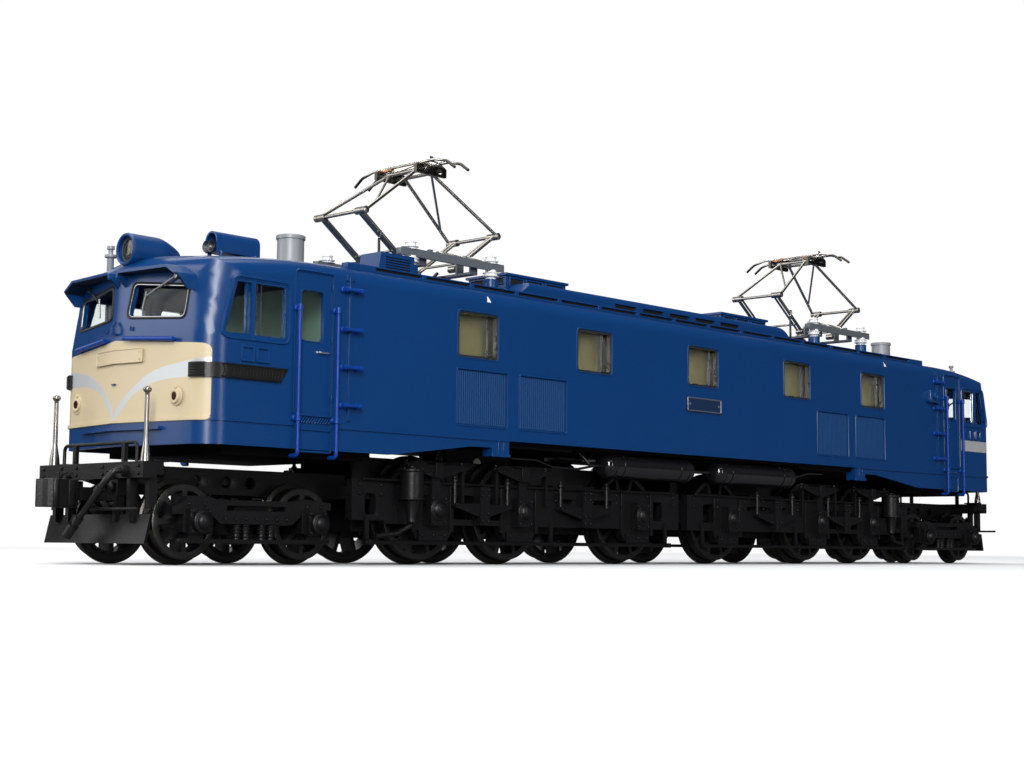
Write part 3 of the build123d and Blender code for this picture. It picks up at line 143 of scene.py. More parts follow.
# far from the loco the lens sees the floor as plain white, so it has no edge
far_off = place.node("VectorMath", {"operation": "LENGTH"}, {0: place}, out=1).above(0.55, 0.5)
plain = place.node("Emission", sockets={0: (1, 1, 1, 1), 1: 1.0})
painted = Tap(place.tree, place.tree.nodes["Principled BSDF"].outputs[0])
faded = place.node("MixShader", sockets={0: sight * far_off, 1: painted, 2: plain})
place.feed(place.tree.nodes["Material Output"].inputs, {0: faded})
floor_mesh.materials.append(floor_material)

# the backdrop is white to the lens and through glass, soft to plain surfaces and dim in gloss
world = bpy.data.worlds.new("studio")
bpy.context.scene.world = world
world.use_nodes = True
studio = Tap(world.node_tree)
to_lens, in_gloss, through_glass = (studio.node("LightPath", out=n) for n in (0, 3, 6))
soft_light = world.node_tree.nodes["Background"]
studio.feed(soft_light.inputs, {0: (0.93, 0.96, 1.0, 1), 1: 0.34})
white = studio.node("Background", sockets={0: (1, 1, 1, 1), 1: 1.0})
dim = studio.node("Background", sockets={0: (0.9, 0.95, 1, 1), 1: 0.05})
behind = studio.node("MixShader", sockets={0: in_gloss, 1: Tap(studio.tree, soft_light.outputs[0]), 2: dim})
open_view = to_lens.math("MAXIMUM", to_lens, through_glass)
clear = studio.node("MixShader", sockets={0: open_view, 1: behind, 2: white})
studio.feed(world.node_tree.nodes["World Output"].inputs, {0: clear})
bpy.context.scene.view_settings.view_transform = "Standard"


def soft_lamp(name, at, aim, size, power):
    """Oblong area lamp at a place, turned towards another, with a power in watts."""
    data = bpy.data.lights.new(name, "AREA")
    data.shape, data.size, data.size_y, data.energy = "RECTANGLE", size[0], size[1], power
    lamp = bpy.data.objects.new(name, data)
    bpy.context.scene.collection.objects.link(lamp)
    lamp.location = at
    lamp.rotation_euler = (Vector(aim) - Vector(at)).to_track_quat("-Z", "Y").to_euler()


soft_lamp("key_strip", (-0.56, -0.49, 0.26), (-0.11, -0.01, 0.03), (0.13, 0.42), 4.6)
soft_lamp("nose_panel", (-0.62, 0.38, 0.30), (-0.11, 0, 0.03), (0.5, 0.5), 2.3)
soft_lamp("side_strip", (0.02, -0.75, 0.16), (-0.05, 0, 0.03), (0.09, 0.34), 0.9)
soft_lamp("side_panel", (-0.20, -0.70, 0.75), (0, 0, 0.03), (0.8, 0.3), 1.0)
soft_lamp("top_panel", (-0.05, 0.10, 0.80), (0, 0, 0.03), (0.8, 0.5), 4.0)
soft_lamp("far_panel", (0.25, 0.75, 0.45), (0, 0, 0.03), (0.8, 0.4), 1.6)

# ------------------------------------------------------------------ body shell
# One thin moulding sprayed satin deep blue.  Each nose has a cream field with a silver stripe
# that sweeps down to the centre crease; the trailing cab carries the stripe round its sides.
mm = 0.001
rail = 0.7
deep_blue = (0.0003, 0.0375, 0.155)
cream = (0.575, 0.475, 0.305)
silver_grey = (0.54, 0.555, 0.57)
mark_white = (0.85, 0.85, 0.83)


def speckled(place, scale, detail=2.0):
    """Noise around 0.5 on a position, scale in cells per metre."""
    return place.node("TexNoise", sockets={"Vector": place, "Scale": scale, "Detail": detail})


def uneven(place, middle, spread, scale=420.0):
    """A value that wanders by that spread round its middle."""
    return middle + (speckled(place, scale) - 0.5) * spread


def mottled(place, colour, spread, scale):
    """A colour that grows darker and lighter by that share from place to place."""
    dark, light = ([min(1, c * (1 + change)) for c in colour] for change in (-spread, spread))
    return speckled(place, scale, 3.0).blend(dark, light)


def relief(place, scale, height):
    """Normal from fine noise, height in metres."""
    return place.node("Bump", sockets={"Height": speckled(place, scale), "Distance": height, "Strength": 1.0})


def surface(name, colour, roughness, metallic=0.0, coat=0.0, spread=0.06, grain=(2500.0, 0.00001), **fixed):
    """Material with colour and roughness that wander a little, and a fine grain in its relief."""
    material, shader, place = new_surface(name)
    place.feed(shader, {"Base Color": mottled(place, colour, spread, 120.0),
                        "Roughness": uneven(place, roughness, 0.12), "Normal": relief(place, *grain),
                        "Metallic": metallic, "Coat Weight": coat})
    place.feed(shader, {key.replace("_", " "): value for key, value in fixed.items()})
    return material


def livery():
    """Blue, cream, silver and white paint laid out by position on the shell."""
    material, shader, place = new_surface("livery_paint")
    x, y, z = (place.part(axis) / mm for axis in "xyz")
    z = z - rail
    far, side = abs(x), abs(y)
    soft = 0.08
    # cream field: level foot, top edge rising to the crease, rounded corners on the sides
    corner, field_end, field_foot = 1.0, 109.4, 18.76
    field_top = 30.36 - side * 0.0733
    inward = (field_end + corner) - far
    middle, half = (field_top + field_foot) / 2, (field_top - field_foot) / 2
    along = abs(z - middle) - (half - corner)
    away, rise = (way.math("MAXIMUM", way, 0.0) for way in (inward, along))
    field = (corner - (away * away + rise * rise).root()).above(0.0, soft)
    # silver stripe: level outside, sweeping down to the crease inside
    sweep_end = 11.0
    upper_sweep = ((0, 0), (0.077, 0.25), (0.255, 0.50), (0.433, 0.70), (0.654, 0.88), (0.83, 0.955), (1, 1))
    lower_sweep = ((0, 0), (0.127, 0.237), (0.259, 0.519), (0.393, 0.703), (0.526, 0.823), (0.66, 0.908),
                   (0.882, 0.985), (1, 1))
    upper, lower = (place.node("FloatCurve", {"points": points}, {0: 1.0, 1: side / sweep_end})
                    for points in (upper_sweep, lower_sweep))
    stripe_top, stripe_foot = 19.6 + upper * 6.9, 19.1 + lower * 5.5
    stripe = (stripe_top - z).above(0.0, soft) * (z - stripe_foot).above(0.0, soft)
    nose = far.above(109.0, soft)
    # stripe round the sides of the trailing cab
    band = z.above(24.5, soft) * (26.9 - z).above(0.0, soft) * x.above(96.2, soft) * side.above(12.0, soft)
    # small white triangles under the eave of both sides
    marks = []
    for at in (-56.4, 64.0):
        half_width = (41.75 - z) * 0.42
        inside = (half_width - abs(x - at)).above(0.0, soft)
        marks.append(inside * z.above(40.65, soft) * side.above(17.0, soft))
    coat = field.blend(mottled(place, deep_blue, 0.07, 60.0), mottled(place, cream, 0.03, 150.0))
    silver = field * stripe * nose + band
    silver = silver.math("MINIMUM", silver, 1.0)
    coat = silver.blend(coat, silver_grey)
    coat = sum(marks).blend(coat, mark_white)
    place.feed(shader, {"Base Color": coat, "Metallic": silver * 0.35,
                        "Roughness": uneven(place, 0.30 + field * 0.10, 0.06, 300.0),
                        "Normal": relief(place, 1300.0, 0.000008), "Specular IOR Level": 0.45})
    return material


def dress(material, *names, edge=0.0, angle=35):
    """Gives CAD nodes a material, and softens their sharp edges by that width in metres."""
    for name in names:
        node = nodes[name]
        node.data.materials.clear()
        node.data.materials.append(material)
        node.data.polygons.foreach_set("use_smooth", np.ones(len(node.data.polygons), bool))
        weld = node.modifiers.new("weld", "WELD")
        weld.merge_threshold = 1e-6
        if edge:
            bevel = node.modifiers.new("soft_edges", "BEVEL")
            bevel.width, bevel.segments, bevel.limit_method = edge, 2, "ANGLE"
            bevel.angle_limit = math.radians(angle)
        else:
            split = node.modifiers.new("crisp_edges", "EDGE_SPLIT")
            split.split_angle = math.radians(angle)
        even = node.modifiers.new("even_faces", "WEIGHTED_NORMAL")
        even.weight, even.mode = 90, "FACE_AREA_WITH_ANGLE"


dress(livery(), "body_shell")
blue_paint = surface("blue_paint", deep_blue, 0.33, grain=(1300.0, 0.000008), Specular_IOR_Level=0.45)

# ------------------------------------------------------------------ glass and window edges
# Bright frames edge the machine room windows and the wipers, and those of the cabs' side
# windows are painted.  Clear panes are moulded behind every opening.
silver_edge = surface("silver_edge", (0.42, 0.43, 0.44), 0.28, metallic=1.0)


def trim_metal():
    """Bright metal with body paint where the cabs' side frames are."""
    material, shader, place = new_surface("trim_metal")
    cab, side = abs(place.part("x")).above(0.08, 0.002), abs(place.part("y")).above(0.0158, 0.0004)
    painted = cab * side
    place.feed(shader, {"Base Color": painted.blend((0.30, 0.31, 0.32), deep_blue), "Metallic": 1.0 - painted,
                        "Roughness": uneven(place, 0.28, 0.1), "Normal": relief(place, 2500.0, 0.000004)})
    return material


def clear_glass(name, colour, roughness, ior):
    """Clear material that light passes through."""
    material, shader, place = new_surface(name)
    place.feed(shader, {"Base Color": (*colour, 1), "Roughness": roughness, "IOR": ior,
                        "Transmission Weight": 1.0})
    return material


dress(trim_metal(), "window_trim")
dress(clear_glass("clear_pane", (0.93, 0.96, 0.95), 0.03, 1.18), "glazing")

# ------------------------------------------------------------------ ventilation fields
# Each side has four sunk fields filled with fine upright ribs, cast with the shell, and every
# opening of the shell has a slim raised bead round it in the same paint.


def strips(ring_count, sides, closed=False):
    """Quads between neighbouring rings of a tube, rings counted along it, joined up if closed."""
    rows = ring_count if closed else ring_count - 1
    ring, step = np.meshgrid(np.arange(rows), np.arange(sides), indexing="ij")
    follow, beside = (ring + 1) % ring_count, (step + 1) % sides
    quads = np.stack([ring * sides + step, ring * sides + beside,
                      follow * sides + beside, follow * sides + step], -1)
    return [tuple(quad) for quad in quads.reshape(-1, 4).tolist()]


def lids(ring_count, sides):
    """The two end faces of such a tube."""
    return [tuple(range(sides))[::-1], tuple(range((ring_count - 1) * sides, ring_count * sides))]


def tube(path, radius, sides=8, closed=False, squash=1.0):
    """Round bar along a path: at each point a ring lies across the mean direction of its two runs.

    The radius may change from point to point.  squash flattens the ring along the second axis.
    """
    path = np.asarray(path, float)
    run = np.roll(path, -1, 0) - path
    before = np.roll(run, 1, 0)
    if not closed:
        run[-1], before[0] = run[-2], run[0]
    run = run / np.linalg.norm(run, axis=1, keepdims=True)
    before = before / np.linalg.norm(before, axis=1, keepdims=True)
    along = run + before
    along /= np.linalg.norm(along, axis=1, keepdims=True)
    spare = np.eye(3)[np.argmin(np.abs(along).max(0))]
    first = np.cross(along, spare)
    first /= np.linalg.norm(first, axis=1, keepdims=True)
    second = np.cross(along, first)
    angle = np.arange(sides) * 2 * np.pi / sides
    wide = np.broadcast_to(np.asarray(radius, float), (len(path),))[:, None, None]
    rings = (path[:, None] + wide * (np.cos(angle)[None, :, None] * first[:, None]
                                     + squash * np.sin(angle)[None, :, None] * second[:, None]))
    faces = strips(len(path), sides, closed) + ([] if closed else lids(len(path), sides))
    return rings.reshape(-1, 3), faces


def turned(profile, at, axis, sides=24):
    """Solid of revolution: (along, radius) pairs carried round an axis through a place."""
    profile, axis = np.asarray(profile, float), np.asarray(axis, float)
    axis = axis / np.linalg.norm(axis)
    first = np.cross(axis, np.eye(3)[np.argmin(np.abs(axis))])
    first /= np.linalg.norm(first)
    second = np.cross(axis, first)
    angle = np.arange(sides) * 2 * np.pi / sides
    spokes = np.cos(angle)[:, None] * first + np.sin(angle)[:, None] * second
    rings = np.asarray(at, float) + profile[:, 0, None, None] * axis + profile[:, 1, None, None] * spokes
    return rings.reshape(-1, 3), strips(len(profile), sides) + lids(len(profile), sides)


def rounded(corners, radius, steps=5):
    """Closed outline of a polygon in a plane, with its corners rounded off.

    Each corner becomes the parabola between the two places where an arc of that radius would
    touch the edges, with the corner as its control point.
    """
    corners = np.asarray(corners, float)
    back = np.roll(corners, 1, 0) - corners
    on = np.roll(corners, -1, 0) - corners
    back /= np.linalg.norm(back, axis=1, keepdims=True)
    on /= np.linalg.norm(on, axis=1, keepdims=True)
    half = np.arccos(np.clip((back * on).sum(1), -1, 1)) / 2
    t = np.linspace(0, 1, steps)[None, :, None]
    reach = (radius / np.tan(half))[:, None, None]
    start, end = corners[:, None] + back[:, None] * reach, corners[:, None] + on[:, None] * reach
    curve = (1 - t) ** 2 * start + 2 * t * (1 - t) * corners[:, None] + t ** 2 * end
    return curve.reshape(-1, corners.shape[1])


def joined(shapes):
    """Several (points, faces) shapes as one."""
    points, faces, count = [], [], 0
    for one, quads in shapes:
        points.append(one)
        faces += [tuple(i + count for i in quad) for quad in quads]
        count += len(one)
    return np.concatenate(points), faces


def mirrored(shape, axis):
    """A shape with its mirror image along an axis, the image's faces turned outwards again."""
    points, faces = shape
    sign = np.ones(3)
    sign["xyz".index(axis)] = -1
    return joined([shape, (points * sign, [tuple(reversed(face)) for face in faces])])


def piece(name, shapes, material, body, edge=0.0, mirror=""):
    """New object from shapes in millimetres, mirrored along the axes named, riding on a body.

    Heights are over the rail head.  Its edges are softened by edge if that is given.
    """
    shape = joined(shapes)
    for axis in mirror:
        shape = mirrored(shape, axis)
    points, faces = shape
    mesh = bpy.data.meshes.new(name)
    mesh.from_pydata(((points + (0, 0, rail)) * mm).tolist(), [], faces)
    mesh.materials.append(material)
    mesh.polygons.foreach_set("use_smooth", np.ones(len(faces), bool))
    sharp = math.radians(38)
    mesh.set_sharp_from_angle(angle=sharp)
    made = bpy.data.objects.new(name, mesh)
    bpy.context.scene.collection.objects.link(made)
    if edge:
        bevel = made.modifiers.new("soft_edges", "BEVEL")
        bevel.width, bevel.segments, bevel.limit_method = edge * mm, 2, "ANGLE"
        bevel.angle_limit = sharp
    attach(made, body)


side_y = 17.5
field_spans = ((37.8, 49.2), (52.1, 63.4))
field_low, field_high = 20.9, 29.6
rib_pitch, rib_r, rib_y = 0.475, 0.15, -side_y + 0.3
shapes = []
for x0, x1 in field_spans:
    xs = np.arange(x0 + rib_pitch / 2 + 0.15, x1 - 0.2, rib_pitch)
    for x in (*xs, *-xs):
        shapes.append(tube([(x, rib_y, field_low + 0.2), (x, rib_y, field_high - 0.2)], rib_r, 6, squash=1.3))
flat_blue = surface("flat_blue", (0.0004, 0.041, 0.150), 0.5, Specular_IOR_Level=0.3)
piece("side_ribs", shapes, flat_blue, "body", mirror="y")


def bead(corners, y, corner_r=0.7, r=0.13, grow=0.1):
    """Raised bead on a side at y round a polygon of (x, height) corners, moved out by grow."""
    corners = np.asarray(corners, float)
    corners = corners + np.sign(corners - corners.mean(0)) * grow
    flat = rounded(corners, corner_r + grow)
    return tube(np.stack([flat[:, 0], np.full(len(flat), y), flat[:, 1]], 1), r, 6, closed=True)


def rectangle(x0, x1, z0, z1):
    """Its four corners in turn."""
    return [(x0, z0), (x1, z0), (x1, z1), (x0, z1)]


window_x = (-58.8, -30.6, 0.0, 30.6, 58.8)
window_half = 4.53
cab_window = ((108.2, 30.5), (106.1, 38.4), (97.0, 38.4), (97.0, 30.5))
shapes = [bead(rectangle(x - window_half, x + window_half, 31.5, 38.7), -side_y) for x in window_x]
for sign in (-1, 1):
    for x0, x1 in field_spans:
        shapes.append(bead(rectangle(sign * x0, sign * x1, field_low, field_high), -side_y, 0.4, 0.14, 0.07))
    shapes.append(bead([(sign * x, z) for x, z in cab_window], -side_y, 0.9, 0.24, 0.35))
    # the door's window, two small frames under the cab window, the door, and the step below it
    for x0, x1, z0, z1, inset, corner_r, r, grow in (
            (90.3, 94.4, 31.0, 38.2, 0.3, 0.7, 0.13, 0.1),
            (102.95, 104.95, 27.25, 29.15, -0.08, 0.12, 0.24, 0.0),
            (100.35, 102.35, 27.25, 29.15, -0.08, 0.12, 0.24, 0.0),
            (88.6, 95.7, 20.4, 41.0, 0.0, 0.7, 0.1, 0.0),
            (88.6, 94.9, 15.3, 18.4, 0.2, 0.2, 0.16, 0.0)):
        shapes.append(bead(rectangle(sign * x0, sign * x1, z0, z1), -side_y + inset, corner_r, r, grow))
piece("opening_beads", shapes, blue_paint, "body", mirror="y")

# ------------------------------------------------------------------ cab doors and side fittings
# Treads of slanted ribs under each cab door, a sill over them, upright strips behind the ladder
# rungs, and a lamp housing beside the ladder on one side of each end.


def slab(low, high):
    """Upright box between two opposite corners."""
    corners = np.array([low, high], float)
    corners.sort(0)
    pick = np.array([[0, 0, 0], [1, 0, 0], [1, 1, 0], [0, 1, 0], [0, 0, 1], [1, 0, 1], [1, 1, 1], [0, 1, 1]])
    faces = [(0, 3, 2, 1), (4, 5, 6, 7), (0, 1, 5, 4), (1, 2, 6, 5), (2, 3, 7, 6), (3, 0, 4, 7)]
    return corners[0] + pick * (corners[1] - corners[0]), faces


def side_slab(x0, x1, z0, z1, proud, sunk=0.2):
    """Box on the near side that stands proud of the wall and is let into it."""
    return slab((x0, -side_y - proud, z0), (x1, -side_y + sunk, z1))


outward, upright, forward = (0, -1, 0), (0, 0, 1), (-1, 0, 0)
shapes = []
for sign in (-1, 1):
    for x in sign * 91.9 + np.linspace(-3.0, 3.0, 13):
        shapes.append(tube([(x - 0.35, -side_y + 0.12, 19.3), (x + 0.35, -side_y + 0.12, 20.2)], 0.12, 5))
    shapes.append(side_slab(sign * 88.5, sign * 95.3, 20.3, 20.6, 0.15, 0.4))
    # strip behind the ladder with a stop at its head, and the door's hinges
    shapes.append(side_slab(sign * 85.4, sign * 85.9, 20.0, 41.0, 0.3))
    shapes.append(side_slab(sign * 84.9, sign * 86.4, 40.4, 41.2, 0.25))
    for z in (22.6, 31.0, 38.6):
        shapes.append(side_slab(sign * 88.5, sign * 88.9, z, z + 0.9, 0.12))
piece("door_treads", shapes, blue_paint, "body", edge=0.05, mirror="y")

shapes = []
for spin in (1, -1):
    # rounded housing, the ring of its lens, and a bracket to the ladder
    lamp_x, lamp_y = spin * 82.6, -spin * side_y
    outline = rounded([(-1.8, -1.4), (1.8, -1.4), (1.8, 1.4), (-1.8, 1.4)], 0.7)
    rings = []
    for out, share in ((-0.2, 1.0), (0.9, 1.0), (1.15, 0.9), (1.2, 0.75)):
        rings += [(lamp_x + x * share, lamp_y - spin * out, 35.6 + z * share) for x, z in outline]
    faces = strips(4, len(outline)) + lids(4, len(outline))[1:]
    shapes.append((np.array(rings), [face[::-spin] for face in faces]))
    shapes.append(turned([(0, 0.85), (0.35, 0.85), (0.45, 0.7), (0.45, 0.4), (0.3, 0.3), (0.3, 0.0001)],
                         (lamp_x + 0.3 * spin, lamp_y - spin * 1.15, 35.7), (0, -spin, 0), 16))
    bracket_y = lamp_y - spin * 0.5
    ladder_end = (lamp_x + spin * 3.0, bracket_y, 34.4)
    shapes.append(tube([(lamp_x + spin * 1.6, bracket_y, 34.4), ladder_end], 0.25))
piece("side_lamp_housings", shapes, blue_paint, "body", edge=0.04)

handle_silver = surface("handle_silver", (0.75, 0.76, 0.77), 0.25, metallic=1.0)
door_y, handle_z = -side_y + 0.3, 29.5
shapes = []
for sign in (-1, 1):
    shapes.append(tube([(sign * x, door_y - out, handle_z)
                        for x, out in ((91.3, 0), (91.3, 0.35), (91.1, 0.45), (89.6, 0.45))], 0.15))
    rose = [(0, 0.22), (0.1, 0.2), (0.12, 0.0001)]
    shapes.append(turned(rose, (sign * 91.3, door_y, handle_z), outward, 12))
piece("door_handles", shapes, handle_silver, "body", mirror="y")

# ------------------------------------------------------------------ windscreens and sliding panes
# The windscreens sit in black rubber with a thin bright inner line.  The machine room windows
# slide open in two halves, and a thin bright line shows inside the cabs' side windows.
rubber = surface("black_rubber", (0.007, 0.007, 0.007), 0.4)
shield = [(1.8, 33.5), (12.8, 32.8), (13.0, 37.4), (2.5, 38.4)]
belt, lean_top = 30.3, 46.0


def nose_place(y, z, out=0.0):
    """Point on the leading nose at (y, height), moved out along the loco.

    The nose falls back from its centre crease in proportion to y.  Above the belt it also leans
    back, and falls off faster, in proportion to the height over the belt.
    """
    y, z = np.asarray(y, float), np.asarray(z, float)
    lean = np.maximum(z - belt, 0) / (lean_top - belt)
    x = 113.45 - 1.2 * lean - (0.163 + 0.053 * lean) * np.abs(y)
    return np.stack([-(x + out), y, z], -1)


def nose_ring(corners, corner_r, r, out, grow, sides=8):
    """Closed bar lying on the leading nose along a rounded polygon of (y, height) corners."""
    corners = np.asarray(corners, float)
    corners = corners + np.sign(corners - corners.mean(0)) * grow
    flat = rounded(corners, corner_r)
    return tube(nose_place(flat[:, 0], flat[:, 1], out), r, sides, closed=True)


gasket = nose_ring(shield, 0.9, 0.17, 0.02, 0.05)
piece("screen_gaskets", [gasket], rubber, "body", mirror="yx")
bright_line = nose_ring(shield, 0.8, 0.08, 0.0, -0.18, 6)
piece("screen_edging", [bright_line], silver_edge, "body", mirror="yx")

# upright bar where the two sliding panes meet
shapes = [slab((x + 2.6, -side_y + 0.55, 31.6), (x + 2.7, -side_y + 0.9, 38.6)) for x in window_x]
for sign in (-1, 1):
    for x0, x1, lean in ((97.35, 101.6, 0.0), (102.35, 107.85, 2.05)):
        corners = [(sign * x, z) for x, z in ((x1, 30.75), (x1 - lean, 38.15), (x0, 38.15), (x0, 30.75))]
        shapes.append(bead(corners, -side_y + 0.3, 0.6, 0.06, 0.0))
piece("sliding_edges", shapes, silver_edge, "body", mirror="y")

# ------------------------------------------------------------------ visors, lamps and nose fittings
# Deep hoods shade the windscreens, a round headlight stands on the brow, and marker lamps with
# dark red lenses sit low on each side of the nose.
lamp_x, lamp_z, lamp_r = 112.2, 43.5, 2.1
marker_top = 29.3


def visor_paint_and_shade():
    """Body blue on top, and painted shade on the undersides: a near-black blue where the faces turn down."""
    material, shader, place = new_surface("visor_paint_and_shade")
    # painted shade: faces that turn downwards get a near-black blue instead of the body blue
    lit = place.node("TexCoord", out=1).part("z").above(-0.25, 0.3)
    place.feed(shader, {"Base Color": lit.blend((0.0008, 0.010, 0.034), deep_blue),
                        "Roughness": uneven(place, 0.6 - lit * 0.27, 0.08),
                        "Normal": relief(place, 1300.0, 0.000008), "Specular IOR Level": 0.4})
    return material


def over_markers(place):
    """0 at the height of the marker lamps and 1 at that of the headlight."""
    return place.part("z").above((rail + marker_top) * mm, 0.001)


def two_paints(name, switch, low, high):
    """Satin paint in one colour where switch is 0 and another where it is 1."""
    material, shader, place = new_surface(name)
    place.feed(shader, {"Base Color": switch(place).blend(low, high),
                        "Roughness": uneven(place, 0.36, 0.08, 300.0),
                        "Normal": relief(place, 1400.0, 0.000012)})
    return material


def lens_glass():
    """Dark clear headlight glass over a ringed reflector, and deep red marker lenses."""
    material, shader, place = new_surface("lens_glass")
    y, drop = place.part("y"), place.part("z") - (rail + lamp_z) * mm
    ripple = (y * y + drop * drop).root() * 9000.0
    rings = ripple.math("SINE", ripple) * 0.5 + 0.5
    glass = rings.blend((0.06, 0.06, 0.058), (0.16, 0.16, 0.15))
    place.feed(shader, {"Base Color": over_markers(place).blend((0.030, 0.004, 0.003), glass),
                        "Roughness": 0.2, "Specular IOR Level": 0.06})
    return material


dress(visor_paint_and_shade(), "sun_visors", edge=0.00006)
# the headlight's casing is blue, and the rings of the marker lamps are cream like the nose
dress(two_paints("casing_paint", over_markers, cream, deep_blue), "lamp_casings", edge=0.00006)
dress(lens_glass(), "lamp_lenses")
a = np.arange(24) * np.pi / 12
ring = np.stack([np.full(24, -lamp_x - 0.02), lamp_r * np.cos(a), lamp_z + lamp_r * np.sin(a)], 1)
piece("headlight_rims", [tube(ring, 0.26, closed=True)], blue_paint, "body", mirror="x")
dome = [(-0.9, 1.83), (-0.62, 1.8), (-0.42, 1.55), (-0.3, 1.1), (-0.24, 0.6), (-0.22, 0.0001)]
piece("headlight_glasses", [turned(dome, (-lamp_x, 0, lamp_z), forward, 32)],
      clear_glass("headlight_glass", (0.5, 0.5, 0.48), 0.02, 1.45), "body", mirror="x")

cream_paint = surface("cream_paint", cream, 0.38, spread=0.03, grain=(1400.0, 0.000012))
marker_y = 12.0
shapes = []
for y in (-marker_y, marker_y):
    # stepped ring round the lens and the small catch above it
    bezel = nose_place(y, 22.1) - (0.05, 0, 0)
    shapes.append(turned([(0.0, 1.35), (0.12, 1.3), (0.16, 1.0)], bezel, forward))
    catch = [(0, 0.3), (0.3, 0.3), (0.38, 0.2), (0.38, 0.0001)]
    shapes.append(turned(catch, nose_place(y, 23.4), forward, 10))
# raised rim and four rivets of the bare plate on the nose
plate_half, plate_foot, plate_top = 5.5, 27.15, 29.0
for z in (plate_foot, plate_top):
    shapes.append(tube(nose_place([-plate_half, -3, 0, 3, plate_half], np.full(5, z), 0.3), 0.1, 6))
for y in (-plate_half, plate_half):
    shapes.append(tube(nose_place(np.full(2, y), (plate_foot, plate_top), 0.3), 0.1, 6))
    for z in (27.6, 28.6):
        rivet = [(0, 0.2), (0.08, 0.18), (0.12, 0.1), (0.12, 0.0001)]
        shapes.append(turned(rivet, nose_place(y * 0.92, z, 0.28), forward, 10))
piece("nose_trim", shapes, cream_paint, "body", mirror="x")

# hook on the crease, a small step and lamp irons on the nose
hook = nose_place(np.zeros(4), [31.2, 31.4, 32.3, 33.0], np.array([0.1, 0.75, 0.8, 0.25]))
shapes = [tube(hook, [0.22, 0.22, 0.2, 0.16]), slab((-113.75, -0.35, 24.1), (-113.2, 0.35, 24.3))]
for y in (-3.0, 3.0):
    shapes.append(tube(nose_place(np.full(2, y), [31.6, 32.2], 0.25), 0.16, 6))
piece("nose_irons", shapes, blue_paint, "body", mirror="x")

# ------------------------------------------------------------------ waist strips and plates
# A ribbed strip wraps the corner of each cab, with a black clip of five bars at its end, and a
# bare dark plate with a bright rim and two screws sits at mid length.
strip_black = surface("strip_black", (0.007, 0.007, 0.007), 0.34, grain=(1800.0, 0.00002),
                      Specular_IOR_Level=0.4)
dress(strip_black, "waist_strips")
shapes = []
for x in np.arange(-108.3, -97.9, 0.55):
    shapes.append(tube([(x, -17.87, 24.8), (x + 0.3, -17.9, 25.6), (x + 0.1, -17.88, 26.4)], 0.05, 5))
for x, z in ((-98.2, 24.75), (-97.18, 26.45)):
    shapes.append(tube([(-108.4, -17.9, z), (x, -17.9, z)], 0.1, 6))
piece("strip_ribs", shapes, strip_black, "body", mirror="y")
# the corner of the nose is an arc of radius 4 about an upright line inside the cab
bend, clip_r = np.radians(np.linspace(17, 44, 6)), 4.3
shapes = []
for z in (24.9, 25.25, 25.6, 25.95, 26.3):
    bar = np.stack([-107.2 - clip_r * np.cos(bend), -13.5 - clip_r * np.sin(bend), np.full(6, z)], 1)
    shapes.append(tube(bar, 0.36))
piece("strip_clips", shapes, strip_black, "body", mirror="y")

dress(blue_paint, "number_plates", edge=0.00004)
# the plates on the noses are cream, and those at mid length are dark
plate_paint = two_paints("plate_paint", lambda place: abs(place.part("x")).above(0.1, 0.001),
                         (0.006, 0.022, 0.07), cream)
nodes["number_plates"].data.materials.clear()
nodes["number_plates"].data.materials.append(plate_paint)
flat = rounded(rectangle(-5.0, 5.0, 26.95, 29.25), 0.15)
rim = np.stack([flat[:, 0], np.full(len(flat), -side_y - 0.3), flat[:, 1]], 1)
shapes = [tube(rim, 0.13, 6, closed=True)]
for x in (-4.3, 4.3):
    screw = [(0, 0.25), (0.1, 0.22), (0.14, 0.1), (0.14, 0.0001)]
    shapes.append(turned(screw, (x, -side_y - 0.28, 28.1), outward, 10))
dull_plate = surface("dull_plate", (0.25, 0.28, 0.33), 0.35, metallic=0.7)
piece("plate_rims", shapes, dull_plate, "body", mirror="y")

# ------------------------------------------------------------------ handrails and ladders
# Bent wire in a brighter blue than the shell.  It meets the side in a ball foot, and a collar
# sits where an upright rail or a rung turns into its foot.
rail_paint = surface("rail_paint", (0.001, 0.040, 0.26), 0.34, Specular_IOR_Level=0.3)
dress(rail_paint, "handrails", angle=50)
foot = [(0, 0.5), (0.15, 0.5), (0.3, 0.42), (0.4, 0.3), (0.42, 0.0001)]
rail_collar = [(-0.5, 0.3), (-0.4, 0.42), (0.4, 0.42), (0.5, 0.3)]
rung_collar = [(-0.35, 0.2), (-0.25, 0.4), (0.25, 0.4), (0.35, 0.2)]
feet = [(x, z, rail_collar, upright) for x, top in ((95.6, 35.4), (88.5, 35.7)) for z in (top, 19.9)]
feet += [(x, z, rung_collar, (1, 0, 0)) for z in (22.2, 27.7, 33.2, 39.0) for x in (84.2, 87.0)]
shapes = []
for sign in (-1, 1):
    for x, z, collar, way in feet:
        shapes.append(turned(foot, (sign * x, -side_y, z), outward, 12))
        shapes.append(turned(collar, (sign * x, -side_y - 0.9, z), way, 12))
piece("rail_feet", shapes, rail_paint, "body", mirror="y")
